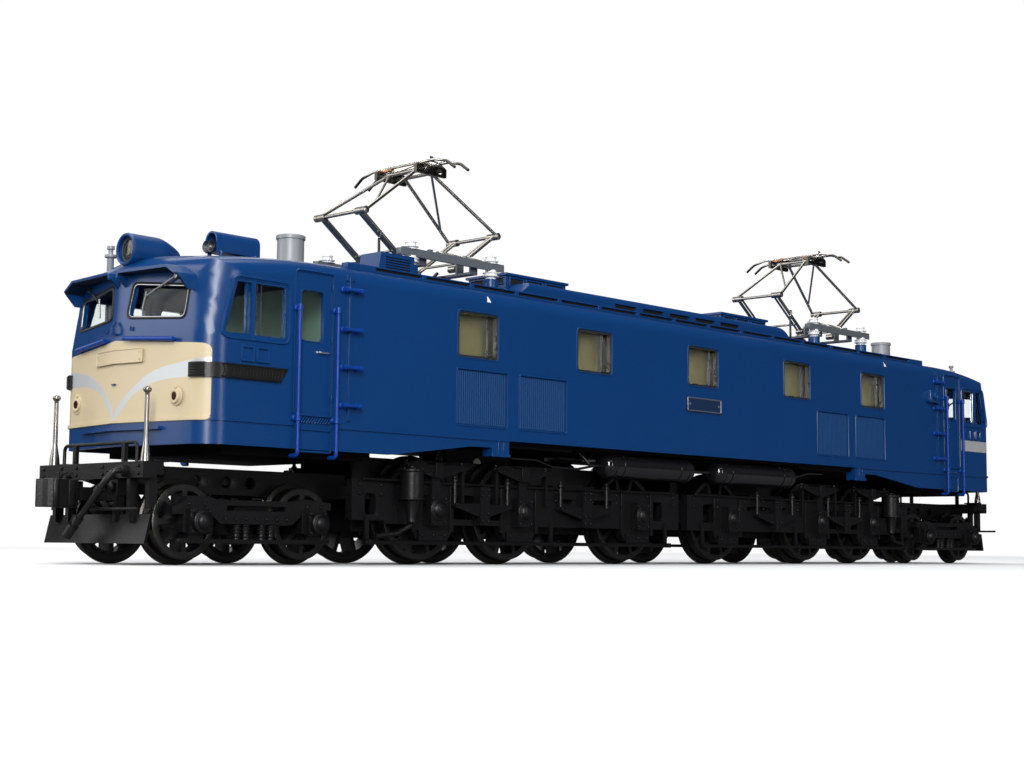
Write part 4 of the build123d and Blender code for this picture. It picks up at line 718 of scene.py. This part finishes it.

# ------------------------------------------------------------------ roof
# Folded sheet hoods in the body colour.  The long monitor and its hatches breathe through slots, darkened by
# black strips and sheets of painted shade set in them; the silver pots have a rolled lip and stand on a
# flange; lifting eyes dot the roof.
dress(blue_paint, "roof_hoods", "walkways", edge=0.00007)
# flat black as painted shade inside the slots and grille openings, and behind the wheels as the black gear
# there and its shade
black_and_painted_shade = surface("black_and_painted_shade", (0.004, 0.004, 0.005), 0.7)
shapes = []
for hand in (-1, 1):
    for x in np.arange(-12.5, 20, 8.0):
        shapes.append(slab((x - 3.05, hand * 8.78, 45.05), (x + 3.05, hand * 8.95, 45.75)))
    for x in 10.5 * np.arange(-7, 8):
        shapes.append(slab((x - 4.75, hand * 14.3, 43.17), (x + 4.75, hand * 14.45, 43.58)))
for end in (-1, 1):
    for z in 44.4 + 0.4 * np.arange(5):
        shapes.append(slab((end * 69.05, end * 12.28, z + 0.01), (end * 74.15, end * 12.38, z + 0.19)))
piece("slot_shadows", shapes, black_and_painted_shade, "body")

# each hatch has an overhanging lid, and sunk grille openings framed by posts on every side; black sheets of
# painted shade fill the openings
lid_foot, lid_top, hatch_y = 48.55, 49.0, 4.5
shapes, gaps = [], []
for end in (-1, 1):
    x0, x1 = sorted((end * 23.4, end * 38.9))
    shapes.append(slab((x0 - 0.4, -4.9, lid_foot), (x1 + 0.4, 4.9, lid_top)))
    for hand in (-1, 1):
        y = hand * hatch_y
        for a, b in ((x0 + 0.8, x0 + 4.2), (x0 + 5.0, x0 + 9.2), (x0 + 10.0, x1 - 0.8)):
            gaps.append(slab((a, y, 46.9), (b, y + hand * 0.06, 48.2)))
            for z in (46.8, 48.25):
                shapes.append(slab((a - 0.15, y, z - 0.12), (b + 0.15, y + hand * 0.3, z + 0.12)))
            for x in (a, b):
                shapes.append(slab((x - 0.13, y, 46.8), (x + 0.13, y + hand * 0.3, 48.25)))
    for x, out in ((x0, -1), (x1, 1)):
        for a, b in ((-3.8, -0.3), (0.3, 3.8)):
            gaps.append(slab((x, a, 47.2), (x + out * 0.06, b, 48.2)))
            for z in (47.08, 48.15):
                shapes.append(slab((x, a - 0.12, z), (x + out * 0.3, b + 0.12, z + 0.17)))
piece("hatch_frames", shapes, blue_paint, "body", edge=0.05)
piece("hatch_gaps", gaps, black_and_painted_shade, "body")

shapes = []
for hand in (-1, 1):
    # hold-down catches along the monitor's foot
    for x in np.arange(-35, 35.1, 7.0):
        shapes.append(slab((x - 0.4, hand * 9.5, 44.0), (x + 0.4, hand * 9.85, 44.6)))
    # lifting eyes
    hoop = ((-0.7, 43.0), (-0.7, 43.6), (-0.4, 43.95), (0.4, 43.95), (0.7, 43.6), (0.7, 43.0))
    for x in (-80, -52, -24, 24, 52, 80):
        shapes.append(tube([(x + dx, hand * 12.6, z) for dx, z in hoop], 0.16, 6))
    # cable conduit along the roof between the pantographs and its clips
    shapes.append(tube([(x, hand * 11.3, 43.55) for x in (-47.0, -20.0, 20.0, 47.0)], 0.28))
    for x in np.arange(-45, 46, 10.0):
        shapes.append(slab((x - 0.25, hand * 10.9, 43.3), (x + 0.25, hand * 11.7, 43.95)))
piece("roof_fixings", shapes, blue_paint, "body", edge=0.03)

pot_silver = surface("pot_silver", (0.29, 0.305, 0.32), 0.5, metallic=0.3, grain=(2200.0, 0.00001))
dress(pot_silver, "roof_metalwork", edge=0.00006, angle=50)
lip = [(48.1, 2.0), (48.15, 2.22), (48.65, 2.24), (48.75, 2.1), (48.7, 1.85), (48.3, 1.8), (48.28, 0.0001)]
flange = [(43.6, 2.6), (44.35, 2.55), (44.45, 2.4), (44.5, 2.0)]
shapes = [turned(profile, (x, -3.7, 0), upright, 40) for x in (-85.6, 85.6) for profile in (lip, flange)]
piece("pot_lips", shapes, pot_silver, "body")
# horns under their cover on the leading roof
flare = [(0, 0.12), (1.2, 0.16), (2.6, 0.22), (3.4, 0.34), (3.9, 0.55), (4.2, 0.85), (4.25, 0.9), (4.2, 0.78),
         (3.8, 0.45), (3.6, 0.0001)]
shapes = [turned(flare, (-97.5, y, 44.85), forward, 20) for y in (-5.6, -4.4)]
piece("horns", shapes, surface("horn_metal", (0.22, 0.22, 0.23), 0.35, metallic=1.0), "body")

# ------------------------------------------------------------------ inside the body
# Plain moulded inner walls the colour of old cream, and cabs in pale green with seats, desks
# and control handles.


def wall_paint():
    """Old cream where daylight falls through a window, shaded beyond it along the loco."""
    material, shader, place = new_surface("wall_paint")
    along = place.part("x") / mm
    daylight, shaded = 5.0, 14.0
    shade = sum(along.above(x * 1.018 + daylight, 2.2) * (x + shaded - along).above(0.0, 1.0)
                for x in window_x)
    place.feed(shader, {"Base Color": shade.blend((0.20, 0.172, 0.072), (0.006, 0.006, 0.005)),
                        "Roughness": uneven(place, 0.6, 0.12), "Normal": relief(place, 2500.0, 0.000002)})
    return material


def cab_paint():
    """Pale green moulding that is black low down, under the cab floor: partly the underside's own black and
    partly painted shade.
    """
    material, shader, place = new_surface("cab_paint")
    # below the cab floor the colour is black, partly the underside's own black and partly painted shade
    tone = place.part("z").above(0.0225, 0.0003).blend((0.006, 0.006, 0.006), (0.36, 0.56, 0.44))
    place.feed(shader, {"Base Color": tone, "Roughness": uneven(place, 0.65, 0.12),
                        "Normal": relief(place, 2500.0, 0.00001), "Specular IOR Level": 0.1})
    return material


dress(wall_paint(), "inner_walls")
dress(cab_paint(), "cab_interiors", edge=0.0001)
shapes = []
for y in (-7.5, 7.5):
    shapes.append(slab((-100.6, y - 2.1, 26.9), (-96.7, y + 2.1, 28.1)))
    shapes.append(slab((-97.6, y - 2.1, 28.4), (-96.3, y + 2.1, 33.2)))
seat_green = surface("seat_green", (0.30, 0.52, 0.42), 0.6, grain=(1500.0, 0.00004))
piece("cab_seats", shapes, seat_green, "body", edge=0.5, mirror="x")
knob, gauge = [(0, 0.2), (0.3, 0.5), (0.7, 0.5), (0.8, 0.3)], [(0, 1.0), (0.5, 1.0), (0.6, 0.8)]
shapes = []
for y in (-7.5, 7.5):
    # lever, knob and gauge of each desk
    shapes.append(tube([(-106.0, y - 1.6, 31.3), (-106.0, y - 1.6, 32.4), (-105.2, y - 1.6, 33.0)], 0.2))
    shapes.append(turned(knob, (-106.4, y + 1.2, 31.4), upright, 14))
    shapes.append(turned(gauge, (-107.3, y - 0.2, 31.3), (0.3, 0, 1), 20))
piece("cab_controls", shapes, rubber, "body", mirror="x")

# ------------------------------------------------------------------ chassis, tanks and pipes
# Blackened casting with two glossy air tanks a side, held by bands, and thin pipes run along
# the underside.
black_plastic = surface("black_plastic", (0.0042, 0.0042, 0.0048), 0.40, grain=(2600.0, 0.00003),
                        Specular_IOR_Level=0.3)
chassis_black = surface("chassis_black", (0.005, 0.005, 0.0055), 0.75, Specular_IOR_Level=0.08)
gloss_black = surface("gloss_black", (0.007, 0.007, 0.008), 0.13, coat=0.3)
dress(gloss_black, "air_tanks", angle=50)
dress(chassis_black, "chassis", edge=0.0001)
dress(surface("motor_steel", (0.45, 0.45, 0.46), 0.32, metallic=1.0), "motor", edge=0.0001)
dress(surface("shaft_steel", (0.40, 0.40, 0.41), 0.3, metallic=1.0), "drive_shaft")
tank_y, tank_z = -14.2, 16.2
end_cap = [(-0.6, 2.1), (0, 2.12), (0.25, 2.14), (0.7, 1.95), (1.15, 1.5), (1.4, 0.9), (1.48, 0.0001)]
band = [(-0.15, 2.2), (-0.1, 2.28), (0.1, 2.28), (0.15, 2.2)]
shapes = []
for x, out in ((-24.5, -1), (-0.7, 1), (7.4, -1), (32.1, 1)):
    shapes.append(turned(end_cap, (x - out * 0.8, tank_y, tank_z), (out, 0, 0), 32))
    shapes.append(turned(band, (x - out * 1.6, tank_y, tank_z), (1, 0, 0), 32))
piece("tank_ends", shapes, gloss_black, "body", mirror="y")
shapes = [tube([(-46.0, -12.6, 16.6), (-40.0, -12.6, 16.6), (-36.0, -12.9, 15.6), (-30.5, -13.6, 15.4),
                (-26.0, tank_y, tank_z)], 0.22),
          tube([(33.0, tank_y, tank_z), (36.0, -13.8, 16.6), (41.0, -13.0, 17.4), (47.0, -12.4, 17.5)], 0.22)]
piece("tank_pipes", shapes, gloss_black, "body", mirror="y")
# ribs on the blue brackets under the sill
shapes = []
for x in (-53.5, 53.5):
    shapes.append(side_slab(x - 0.75, x - 0.45, 16.5, 18.8, 0.25))
    shapes.append(side_slab(x + 0.45, x + 0.75, 16.5, 18.8, 0.25))
    shapes.append(side_slab(x - 2.1, x + 2.1, 16.3, 16.8, 0.2))
piece("bracket_ribs", shapes, blue_paint, "body", edge=0.05, mirror="y")

# ------------------------------------------------------------------ wheels
# Three driven axles and two smaller carrying axles at each end.  The wheels are blackened, and
# polished where they run; each takes its place and size from its box in the frame.


def middle(node):
    """Middle of a CAD node's box at rest, in millimetres with the height over the rail head."""
    low, high = (np.array(corner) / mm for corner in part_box(node))
    return (low + high) / 2 - (0, 0, rail)


def tyre_metal(name, node):
    """Blackened wheel whose tread, flange and rim edge are polished by running."""
    material, shader, place = new_surface(name)
    # the tread stands on the rail head, so its radius is the height of the axle over it
    x, _, tread_r = middle(node)
    dx, dz = place.part("x") / mm - x, place.part("z") / mm - (rail + tread_r)
    worn = (dx * dx + dz * dz).root().above(tread_r - 0.25, 0.12)
    place.feed(shader, {"Base Color": worn.blend((0.010, 0.010, 0.010), (0.07, 0.068, 0.062)),
                        "Metallic": worn * 0.85 + 0.1,
                        "Roughness": uneven(place, 0.38 - worn * 0.18, 0.12, 700.0),
                        "Normal": relief(place, 2600.0, 0.00001)})
    return material


ends = (("front_", -1), ("rear_", 1))
for end, sign in ends:
    for n in (1, 2, 3):
        dress(tyre_metal(f"{end}tyre_{n}", f"{end}driver_{n}"), f"{end}driver_{n}", edge=0.00005)
    for n in (1, 2):
        dress(tyre_metal(f"{end}small_tyre_{n}", f"{end}carrier_{n}"), f"{end}carrier_{n}", edge=0.00005)

# ------------------------------------------------------------------ trucks, axle boxes and springs
# Satin black mouldings with domed axle box covers that catch the light, and leaf stacks over and
# between the boxes.  Both ends are alike, with sign turning the places to either end.
box_y, frame_y = 14.5, 12.8
pole_metal = surface("pole_metal", (0.30, 0.285, 0.265), 0.3, metallic=1.0, grain=(900.0, 0.000001))
box_cover = [(-0.3, 1.75), (0.0, 1.75), (0.15, 1.6), (0.2, 1.3), (0.5, 1.15), (0.75, 0.8), (0.85, 0.35),
             (0.87, 0.0001)]


def bolt(at, axis=outward):
    """Six-sided bolt head that sits on a place."""
    return turned([(-0.1, 0.26), (0.18, 0.26), (0.26, 0.18), (0.26, 0.0001)], at, axis, 6)


def axles(end, kind="driver", count=3):
    """Places along the loco of an end's axles of one kind, and their height."""
    return [middle(f"{end}{kind}_{n}")[0] for n in range(1, count + 1)], middle(f"{end}{kind}_1")[2]


def leaves(x, low, high, front, step):
    """Five spring leaves, each shorter than the one above; low and high are those of the top one."""
    back, half = -12.9, 6.2
    return [slab((x - half + 1.1 * n, front, low - step * n), (x + half - 1.1 * n, back, high - step * n))
            for n in range(5)]


for end, sign in ends:
    for part in ("truck_frame", "snow_plow", "lead_truck", "end_beam", "coupler"):
        dress(black_plastic, end + part, edge=0.00008)
    dress(black_plastic, end + "spring_gear", edge=0.00005)
    dress(rubber, end + "brake_hose", angle=50)
    dress(pole_metal, end + "marker_poles", angle=50)
    dress(surface(end + "worm_brass", (0.55, 0.38, 0.15), 0.3, metallic=1.0), end + "worm")
    dress(surface(end + "acetal", (0.7, 0.68, 0.6), 0.4), end + "tower_gear")
hanger = [(0, 0.5), (0.5, 0.5), (0.7, 0.3), (1.0, 0.28), (1.05, 0.0001)]
spring_seat = [(0, 0.55), (0.4, 0.55), (0.6, 0.35), (0.9, 0.3)]
for end, sign in ends:
    axle_x, axle_z = axles(end)
    shapes = []
    for x in axle_x:
        shapes.append(turned(box_cover, (x, -box_y, axle_z), outward, 20))
        shapes += [bolt((x + dx, -box_y, axle_z + dz)) for dx in (-1.35, 1.35) for dz in (-1.9, 1.7)]
    for x in axle_x[:2]:
        shapes += leaves(x, 14.45, 14.70, -14.3, 0.34)
        shapes.append(slab((x - 0.8, -14.5, 12.7), (x + 0.8, -12.9, 15.0)))
        shapes += [turned(hanger, (x + dx, -13.3, 14.3), upright, 10) for dx in (-6.0, 6.0)]
    for x in (sign * 53.6, sign * 28.6):
        shapes += leaves(x, 8.6, 8.86, -14.25, 0.36)
        shapes += [turned(spring_seat, (x + dx, -13.5, 12.2), upright, 10) for dx in (-6.0, 6.0)]
        shapes += [bolt((x + dx, -14.4, z)) for z in (6.2, 7.4, 10.2, 11.2) for dx in (-0.7, 0.7)]
    piece(end + "box_covers", shapes, black_plastic, end + "truck", edge=0.04, mirror="y")

# ------------------------------------------------------------------ brake gear
# A capped brake cylinder with its lever stands at the outer end of each truck, shoes press on
# the wheels, and bolts, tie bars and a thin pipe dress the side frame.
top_cap = [(13.3, 1.85), (13.45, 2.0), (13.75, 2.0), (13.85, 1.7), (14.0, 0.7), (14.3, 0.6), (14.35, 0.0001)]
foot_cap = [(9.1, 1.85), (9.15, 1.98), (9.4, 1.98), (9.45, 1.85)]
rod_cover = [(5.4, 0.35), (5.8, 0.8), (6.6, 0.75), (8.4, 1.05), (9.1, 1.2)]
frame_bolts = (78.9, 74.6, 57.2, 51.0, 37.6, 35.0, 25.6, 19.2, 10.6, 3.2)
frame_pipe = ((79.0, -13.5, 12.1), (60.0, -13.2, 11.9), (30.0, -13.2, 11.9), (3.0, -13.2, 12.1))
shoe_r, shoe_y = 8.35, -8.4
for end, sign in ends:
    axle_x, axle_z = axles(end)
    x, y = sign * 70.1, -14.8
    shapes = [turned(profile, (x, y, 0), upright, sides)
              for profile, sides in ((top_cap, 28), (foot_cap, 28), (rod_cover, 20))]
    shapes += [bolt((x + 1.6 * math.cos(a), y + 1.6 * math.sin(a), 13.75), upright)
               for a in np.arange(6) * np.pi / 3]
    shapes.append(tube([(x, y, 5.4), (sign * 72.5, -14.2, 4.0), (sign * 76.5, -13.9, 3.6)], 0.4))
    # bolts along the side frame and under the boxes, upright tie bars beside each box
    shapes += [bolt((sign * x, -frame_y, z)) for x in frame_bolts for z in (11.3, 9.9)]
    for x in axle_x:
        shapes += [bolt((x + dx, -frame_y - 0.5, 3.9)) for dx in (-2.4, 0.0, 2.4)]
        shapes += [slab((x + dx - 0.35, -frame_y - 0.35, 4.4), (x + dx + 0.35, -frame_y + 0.1, 11.6))
                   for dx in (-4.1, 4.1)]
    shapes.append(tube([(sign * x, y, z) for x, y, z in frame_pipe], 0.22))
    # shoes behind the wheels, curved to the tread; the innermost wheel has only an inner one
    for x, sides in zip(axle_x, ((-1, 1), (-1, 1), (-1,))):
        for way in (sign * side for side in sides):
            a = np.linspace(-0.28, 0.28, 7) + (0 if way > 0 else np.pi) + 0.1 * way
            arc = np.stack([x + shoe_r * np.cos(a), np.full(7, shoe_y), axle_z + shoe_r * np.sin(a)], 1)
            shapes.append(tube(arc, 0.42, 6, squash=2.2))
    piece(end + "brake_gear", shapes, black_plastic, end + "truck", edge=0.03, mirror="y")

# ------------------------------------------------------------------ inner frames
# Flat black plates behind the wheels close the view through the trucks; they stand in for the black gear
# there and paint in its shade.  They are notched round each axle, and those of the leading trucks are lower.
inner, outer, plate_foot, plate_top, axle_gap = -5.8, -6.2, 4.4, 15.8, 1.6
for end, sign in ends:
    axle_x, axle_z = axles(end)
    shapes = [slab((sign * a, outer, plate_foot), (sign * b, inner, plate_top))
              for a, b in ((65.7, 74.5), (46.0, 62.2), (15.4, 42.5), (4.6, 11.9))]
    for x in axle_x:
        shapes.append(slab((x - 1.8, outer, axle_z + axle_gap), (x + 1.8, inner, plate_top)))
        shapes.append(slab((x - 1.8, outer, 3.4), (x + 1.8, inner, axle_z - axle_gap)))
    piece(end + "inner_frames", shapes, black_and_painted_shade, end + "truck", mirror="y")
    shapes = [slab((sign * 89.4, outer, 3.6), (sign * 106.4, inner, 8.2)),
              slab((sign * 87.8, outer, 6.9), (sign * 89.4, inner, 8.2))]
    piece(end + "lead_inner_frames", shapes, black_and_painted_shade, end + "lead_truck", mirror="y")

# ------------------------------------------------------------------ leading trucks
# Smaller covers on two axle boxes, four coil springs between them on the equalizer, and a row of
# rivets along it.
small_cover = [(along, r * 0.92) for along, r in box_cover]
coil_r, coil_foot, coil_rise, coil_turns = 0.62, 2.95, 2.0, 4
for end, sign in ends:
    shapes = []
    axle_x, axle_z = axles(end, "carrier", 2)
    for x in axle_x:
        shapes.append(turned(small_cover, (x, -box_y, axle_z), outward, 20))
        for dx in (-1.3, 1.3):
            shapes += [bolt((x + dx, -box_y + 0.65, axle_z + dz)) for dz in (-1.35, 1.35)]
            shapes.append(bolt((x + dx, -frame_y, 7.6)))
    for x in (101.0, 99.4, 96.6, 95.0):
        t = np.linspace(0, 1, 61)
        a = t * coil_turns * 2 * np.pi
        height = coil_foot + coil_rise * t
        coil = np.stack([sign * x + coil_r * np.cos(a), -12.1 + coil_r * np.sin(a), height], 1)
        shapes.append(tube(coil, 0.14, 5))
    shapes += [bolt((sign * x, -frame_y, 5.7)) for x in np.arange(92.6, 103.6, 1.8)]
    piece(end + "lead_details", shapes, black_plastic, end + "lead_truck", edge=0.03,
          mirror="y")

# ------------------------------------------------------------------ end beams, couplers and poles
# Each beam carries bolts, air cocks, steps, socket boxes and the uncoupling lever, and below it
# the coupler has a tall cast head.  The marker poles end in turned finials.
beam_face = 117.0
cock = [(-0.25, 0.45), (0.25, 0.45), (0.3, 0.2)]
socket = [(0, 0.7), (0.4, 0.7), (0.5, 0.5), (0.5, 0.0001)]
# the lever's handle is on the near side of both ends
lever = ((118.6, -14.0, 6.75), (118.6, -6.0, 6.75), (118.4, -2.6, 6.85), (117.4, -2.0, 7.2))
knuckle = [(-1.95, 0.5), (-1.8, 0.62), (1.8, 0.62), (1.95, 0.5)]
finial = [(22.35, 0.3), (22.5, 0.52), (22.75, 0.6), (23.0, 0.52), (23.15, 0.25), (23.18, 0.0001)]
for end, sign in ends:
    face, along = sign * beam_face, (sign, 0, 0)
    shapes = [bolt((face, hand * y, z), along) for hand in (-1, 1)
              for y in (3.2, 7.0, 11.6) for z in (11.5, 12.5)]
    for y in (-5.6, 5.0, 7.0):
        shapes.append(tube([(sign * x, y, z) for x, z in ((116.8, 11.4), (117.5, 11.3), (118.0, 10.6))], 0.3))
        shapes.append(turned(cock, (sign * 117.9, y, 10.7), (0, 1, 0), 8))
        shapes.append(tube([(sign * 117.6, y + dy, 11.9) for dy in (-0.5, 0.5)], 0.13, 6))
    shapes.append(tube([(sign * x, y, z) for x, y, z in lever], 0.22))
    for hand in (-1, 1):
        shapes.append(slab((sign * 114.9, hand * 9.3, 13.1), (sign * 112.6, hand * 12.5, 13.35)))
        shapes.append(slab((sign * 115.2, hand * 4.2, 8.6), (sign * 116.7, hand * 6.4, 10.8)))
        shapes.append(turned(socket, (sign * 116.7, hand * 5.3, 9.8), along, 14))
    piece(end + "beam_fittings", shapes, black_plastic, end + "truck", edge=0.04)
    shapes = [slab((sign * 121.3, -1.95, 7.15), (sign * 120.2, 1.95, 10.75)),
              turned(knuckle, (sign * 123.2, sign * 1.6, 8.9), upright, 14)]
    for z in (7.6, 8.9, 10.2):
        shapes.append(slab((sign * 121.0, -sign * 2.02, z - 0.12), (sign * 123.4, -sign * 1.7, z + 0.12)))
    piece(end + "coupler_cast", shapes, black_plastic, end + "coupler", edge=0.12)
    pole_x = middle(end + "marker_poles")[0]
    shapes = [turned(finial, (pole_x, y, 0), upright, 16) for y in (-11.15, 11.15)]
    piece(end + "pole_caps", shapes, pole_metal, end + "truck")

# ------------------------------------------------------------------ pantograph bases
# A grey frame stands on four white insulators at each end.  Twin coil springs lie along it, and
# an air cylinder, its lever and the latch of the folded frame sit under and beside it.
panto_grey = surface("panto_grey", (0.10, 0.115, 0.13), 0.42)
dress(panto_grey, "panto_bases", edge=0.00006)
porcelain = surface("porcelain", (0.80, 0.81, 0.82), 0.1, coat=0.6, spread=0.02)
dress(porcelain, "insulators", angle=50)
nickel = surface("nickel", (0.55, 0.53, 0.49), 0.26, metallic=1.0, spread=0.1, grain=(900.0, 0.000001))
sheds = [(46.0, 0.85), (46.3, 0.9), (46.45, 1.35), (46.55, 1.4), (46.65, 0.95), (46.9, 0.9), (47.0, 1.3),
         (47.1, 1.35), (47.2, 0.95), (47.55, 0.9)]
cap = [(48.6, 0.95), (48.8, 1.0), (48.95, 1.25), (49.05, 1.25), (49.15, 0.85), (49.5, 0.75), (49.7, 0.95),
       (49.8, 0.9), (50.0, 0.5), (50.2, 0.0001)]
cylinder = [(0, 1.2), (0.2, 1.45), (4.6, 1.45), (4.9, 1.2), (5.2, 0.5), (6.8, 0.4)]
drum = [(44.3, 3.0), (44.9, 3.1), (45.4, 2.9), (45.5, 2.4)]
spring_y, spring_z, spring_long, spring_r, spring_turns = 9.2, 48.8, 9.6, 0.52, 26
whites, greys, darks, brights = [], [], [], []
for end, sign in ends:
    centre = middle(end + "panto_head")[0]
    whites += [turned(profile, (centre + dx, y, 0), upright) for dx in (-9.1, 9.1) for y in (-10.0, 10.0)
               for profile in (sheds, cap)]
    for hand in (-1, 1):
        # main spring: coils round the bright cylinder, with eye bolts at both ends
        y = hand * spring_y
        first = centre - (2.4 if sign < 0 else 7.2)
        t = np.linspace(0, 1, 181)
        a = t * spring_turns * 2 * np.pi
        along, aside, rise = spring_long * t, spring_r * np.cos(a), spring_r * np.sin(a)
        brights.append(tube(np.stack([first + along, y + aside, spring_z + rise], 1), 0.1, 5))
        for x, way in ((first, -1), (first + spring_long, 1)):
            brights.append(tube([(x, y, spring_z), (x + way * 1.6, y, spring_z)], 0.2))
            greys.append(slab((x + way * 1.4, hand * 8.9, 48.3), (x + way * 2.1, hand * 9.6, 49.3)))
        greys += [bolt((centre + way * dx, hand * 10.1, 48.6), upright) for way in (-1, 1)
                  for dx in (2.0, 7.6, 10.6)]
        # lower web that turns the beam into an angle section
        greys.append(slab((centre - 11.6, hand * 10.5, 47.4), (centre + 11.6, hand * 10.7, 48.7)))
    # air cylinder, drum, brackets and lever under the base
    darks.append(turned(cylinder, (centre - 4.6, -1.0, 45.9), (1, 0, 0)))
    darks.append(turned(drum, (centre - 1.0, -4.2, 0), upright, 28))
    darks.append(slab((centre + 3.6, -3.8, 44.3), (centre + 4.8, -2.6, 46.6)))
    darks.append(slab((centre + 2.8, 1.5, 44.3), (centre + 4.4, 2.9, 46.6)))
    crank = ((2.2, 45.9), (4.6, 46.7), (5.6, 47.6))
    darks.append(tube([(centre + dx, -1.0, z) for dx, z in crank], 0.3))
    # latch post beside the leading knee, with a bright hook
    post, post_y = centre - 12.8, -6.65
    darks.append(tube([(post + 0.1, post_y, 44.2), (post, post_y, 50.3)], [0.26, 0.22]))
    brights.append(tube([(post, post_y, 50.2), (post + 0.5, post_y, 50.9), (post + 0.4, post_y, 51.5),
                         (post - 0.3, post_y, 51.3)], 0.16, 6))
piece("insulator_sheds", whites, porcelain, "body")
piece("base_fixings", greys, panto_grey, "body", edge=0.03)
piece("panto_springs", brights, nickel, "body")
piece("panto_gear", darks, rubber, "body", edge=0.05)

# ------------------------------------------------------------------ pantograph frames
# Plated tubes that have tarnished unevenly.  Each lower frame has eyes on its shaft and at its
# knees, and each upper frame has nuts at the knees and collars at the crown.
old_nickel = surface("old_nickel", (0.40, 0.375, 0.34), 0.30, metallic=1.0, spread=0.2,
                     grain=(900.0, 0.000001))
# distances of the joints from the middle of a pantograph, and their heights
base_joint, knee_joint, crown_joint = (5.8, 47.9), (15.0, 54.6), (1.7, 63.6)
eye = [(-0.15, 0.62), (0.1, 0.62), (0.15, 0.4), (0.35, 0.38), (0.4, 0.0001)]
nut = [(-0.1, 0.5), (0.1, 0.5), (0.16, 0.34), (0.22, 0.0001)]
crown_collar = [(-0.45, 0.45), (0.45, 0.45)]
for end, sign in ends:
    for part in ("lower_a", "lower_b", "upper_a", "upper_b"):
        dress(old_nickel, end + "panto_" + part, angle=50)
    centre = middle(end + "panto_head")[0]
    for part, way in (("a", sign), ("b", -sign)):
        lows, ups = [], []
        for hand in (-1, 1):
            for x, z in (base_joint, knee_joint):
                lows.append(turned(eye, (centre + way * x, hand * 4.15, z), (0, -hand, 0), 12))
            knee, crown = centre + way * knee_joint[0], centre + way * crown_joint[0]
            ups.append(turned(nut, (knee, hand * 6.0, knee_joint[1]), (0, hand, 0), 12))
            ups.append(turned(crown_collar, (crown, hand * 3.2, crown_joint[1]), (0, 1, 0), 12))
        piece(end + "lower_joints_" + part, lows, old_nickel, end + "panto_lower_" + part)
        piece(end + "upper_joints_" + part, ups, old_nickel, end + "panto_upper_" + part)

# ------------------------------------------------------------------ pantograph heads
# Each head carries two strips with turned-down horns, with clips on the strips, coppery leaves
# under them, and ties from one strip to the other.


def head_metal(name):
    """Plated strips and horns over blackened hangers."""
    material, shader, place = new_surface(name)
    tone = place.part("z").above(0.0651, 0.0004).blend((0.07, 0.066, 0.06), (0.72, 0.70, 0.66))
    place.feed(shader, {"Base Color": tone, "Roughness": uneven(place, 0.3, 0.1), "Metallic": 1.0,
                        "Normal": relief(place, 900.0, 0.000001)})
    return material


strip_half, tie_z = 1.55, 64.8
for end, sign in ends:
    dress(head_metal(end + "head_metal"), end + "panto_head", angle=50)
    centre = middle(end + "panto_head")[0]
    ties, leafs = [], []
    for x in (centre - strip_half, centre + strip_half):
        for y in (-6.4, -3.2, 0.0, 3.2, 6.4):
            ties.append(slab((x - 0.55, y - 0.12, 64.85), (x + 0.55, y + 0.12, 65.25)))
        leafs += [slab((x - 0.3, hand * 4.9, 64.3), (x + 0.3, hand * 2.6, 64.75)) for hand in (-1, 1)]
    for y in (-5.9, -4.0, 4.0, 5.9):
        ties.append(tube([(centre - strip_half, y, tie_z), (centre + strip_half, y, tie_z)], 0.16, 6))
    ties.append(tube([(centre - strip_half, -5.9, tie_z), (centre + strip_half, 5.9, tie_z)], 0.12, 6))
    piece(end + "head_ties", ties, nickel, end + "panto_head", edge=0.02)
    copper = surface(end + "copper_leaf", (0.22, 0.12, 0.07), 0.35, metallic=1.0, spread=0.2)
    piece(end + "head_leaves", leafs, copper, end + "panto_head", edge=0.02)
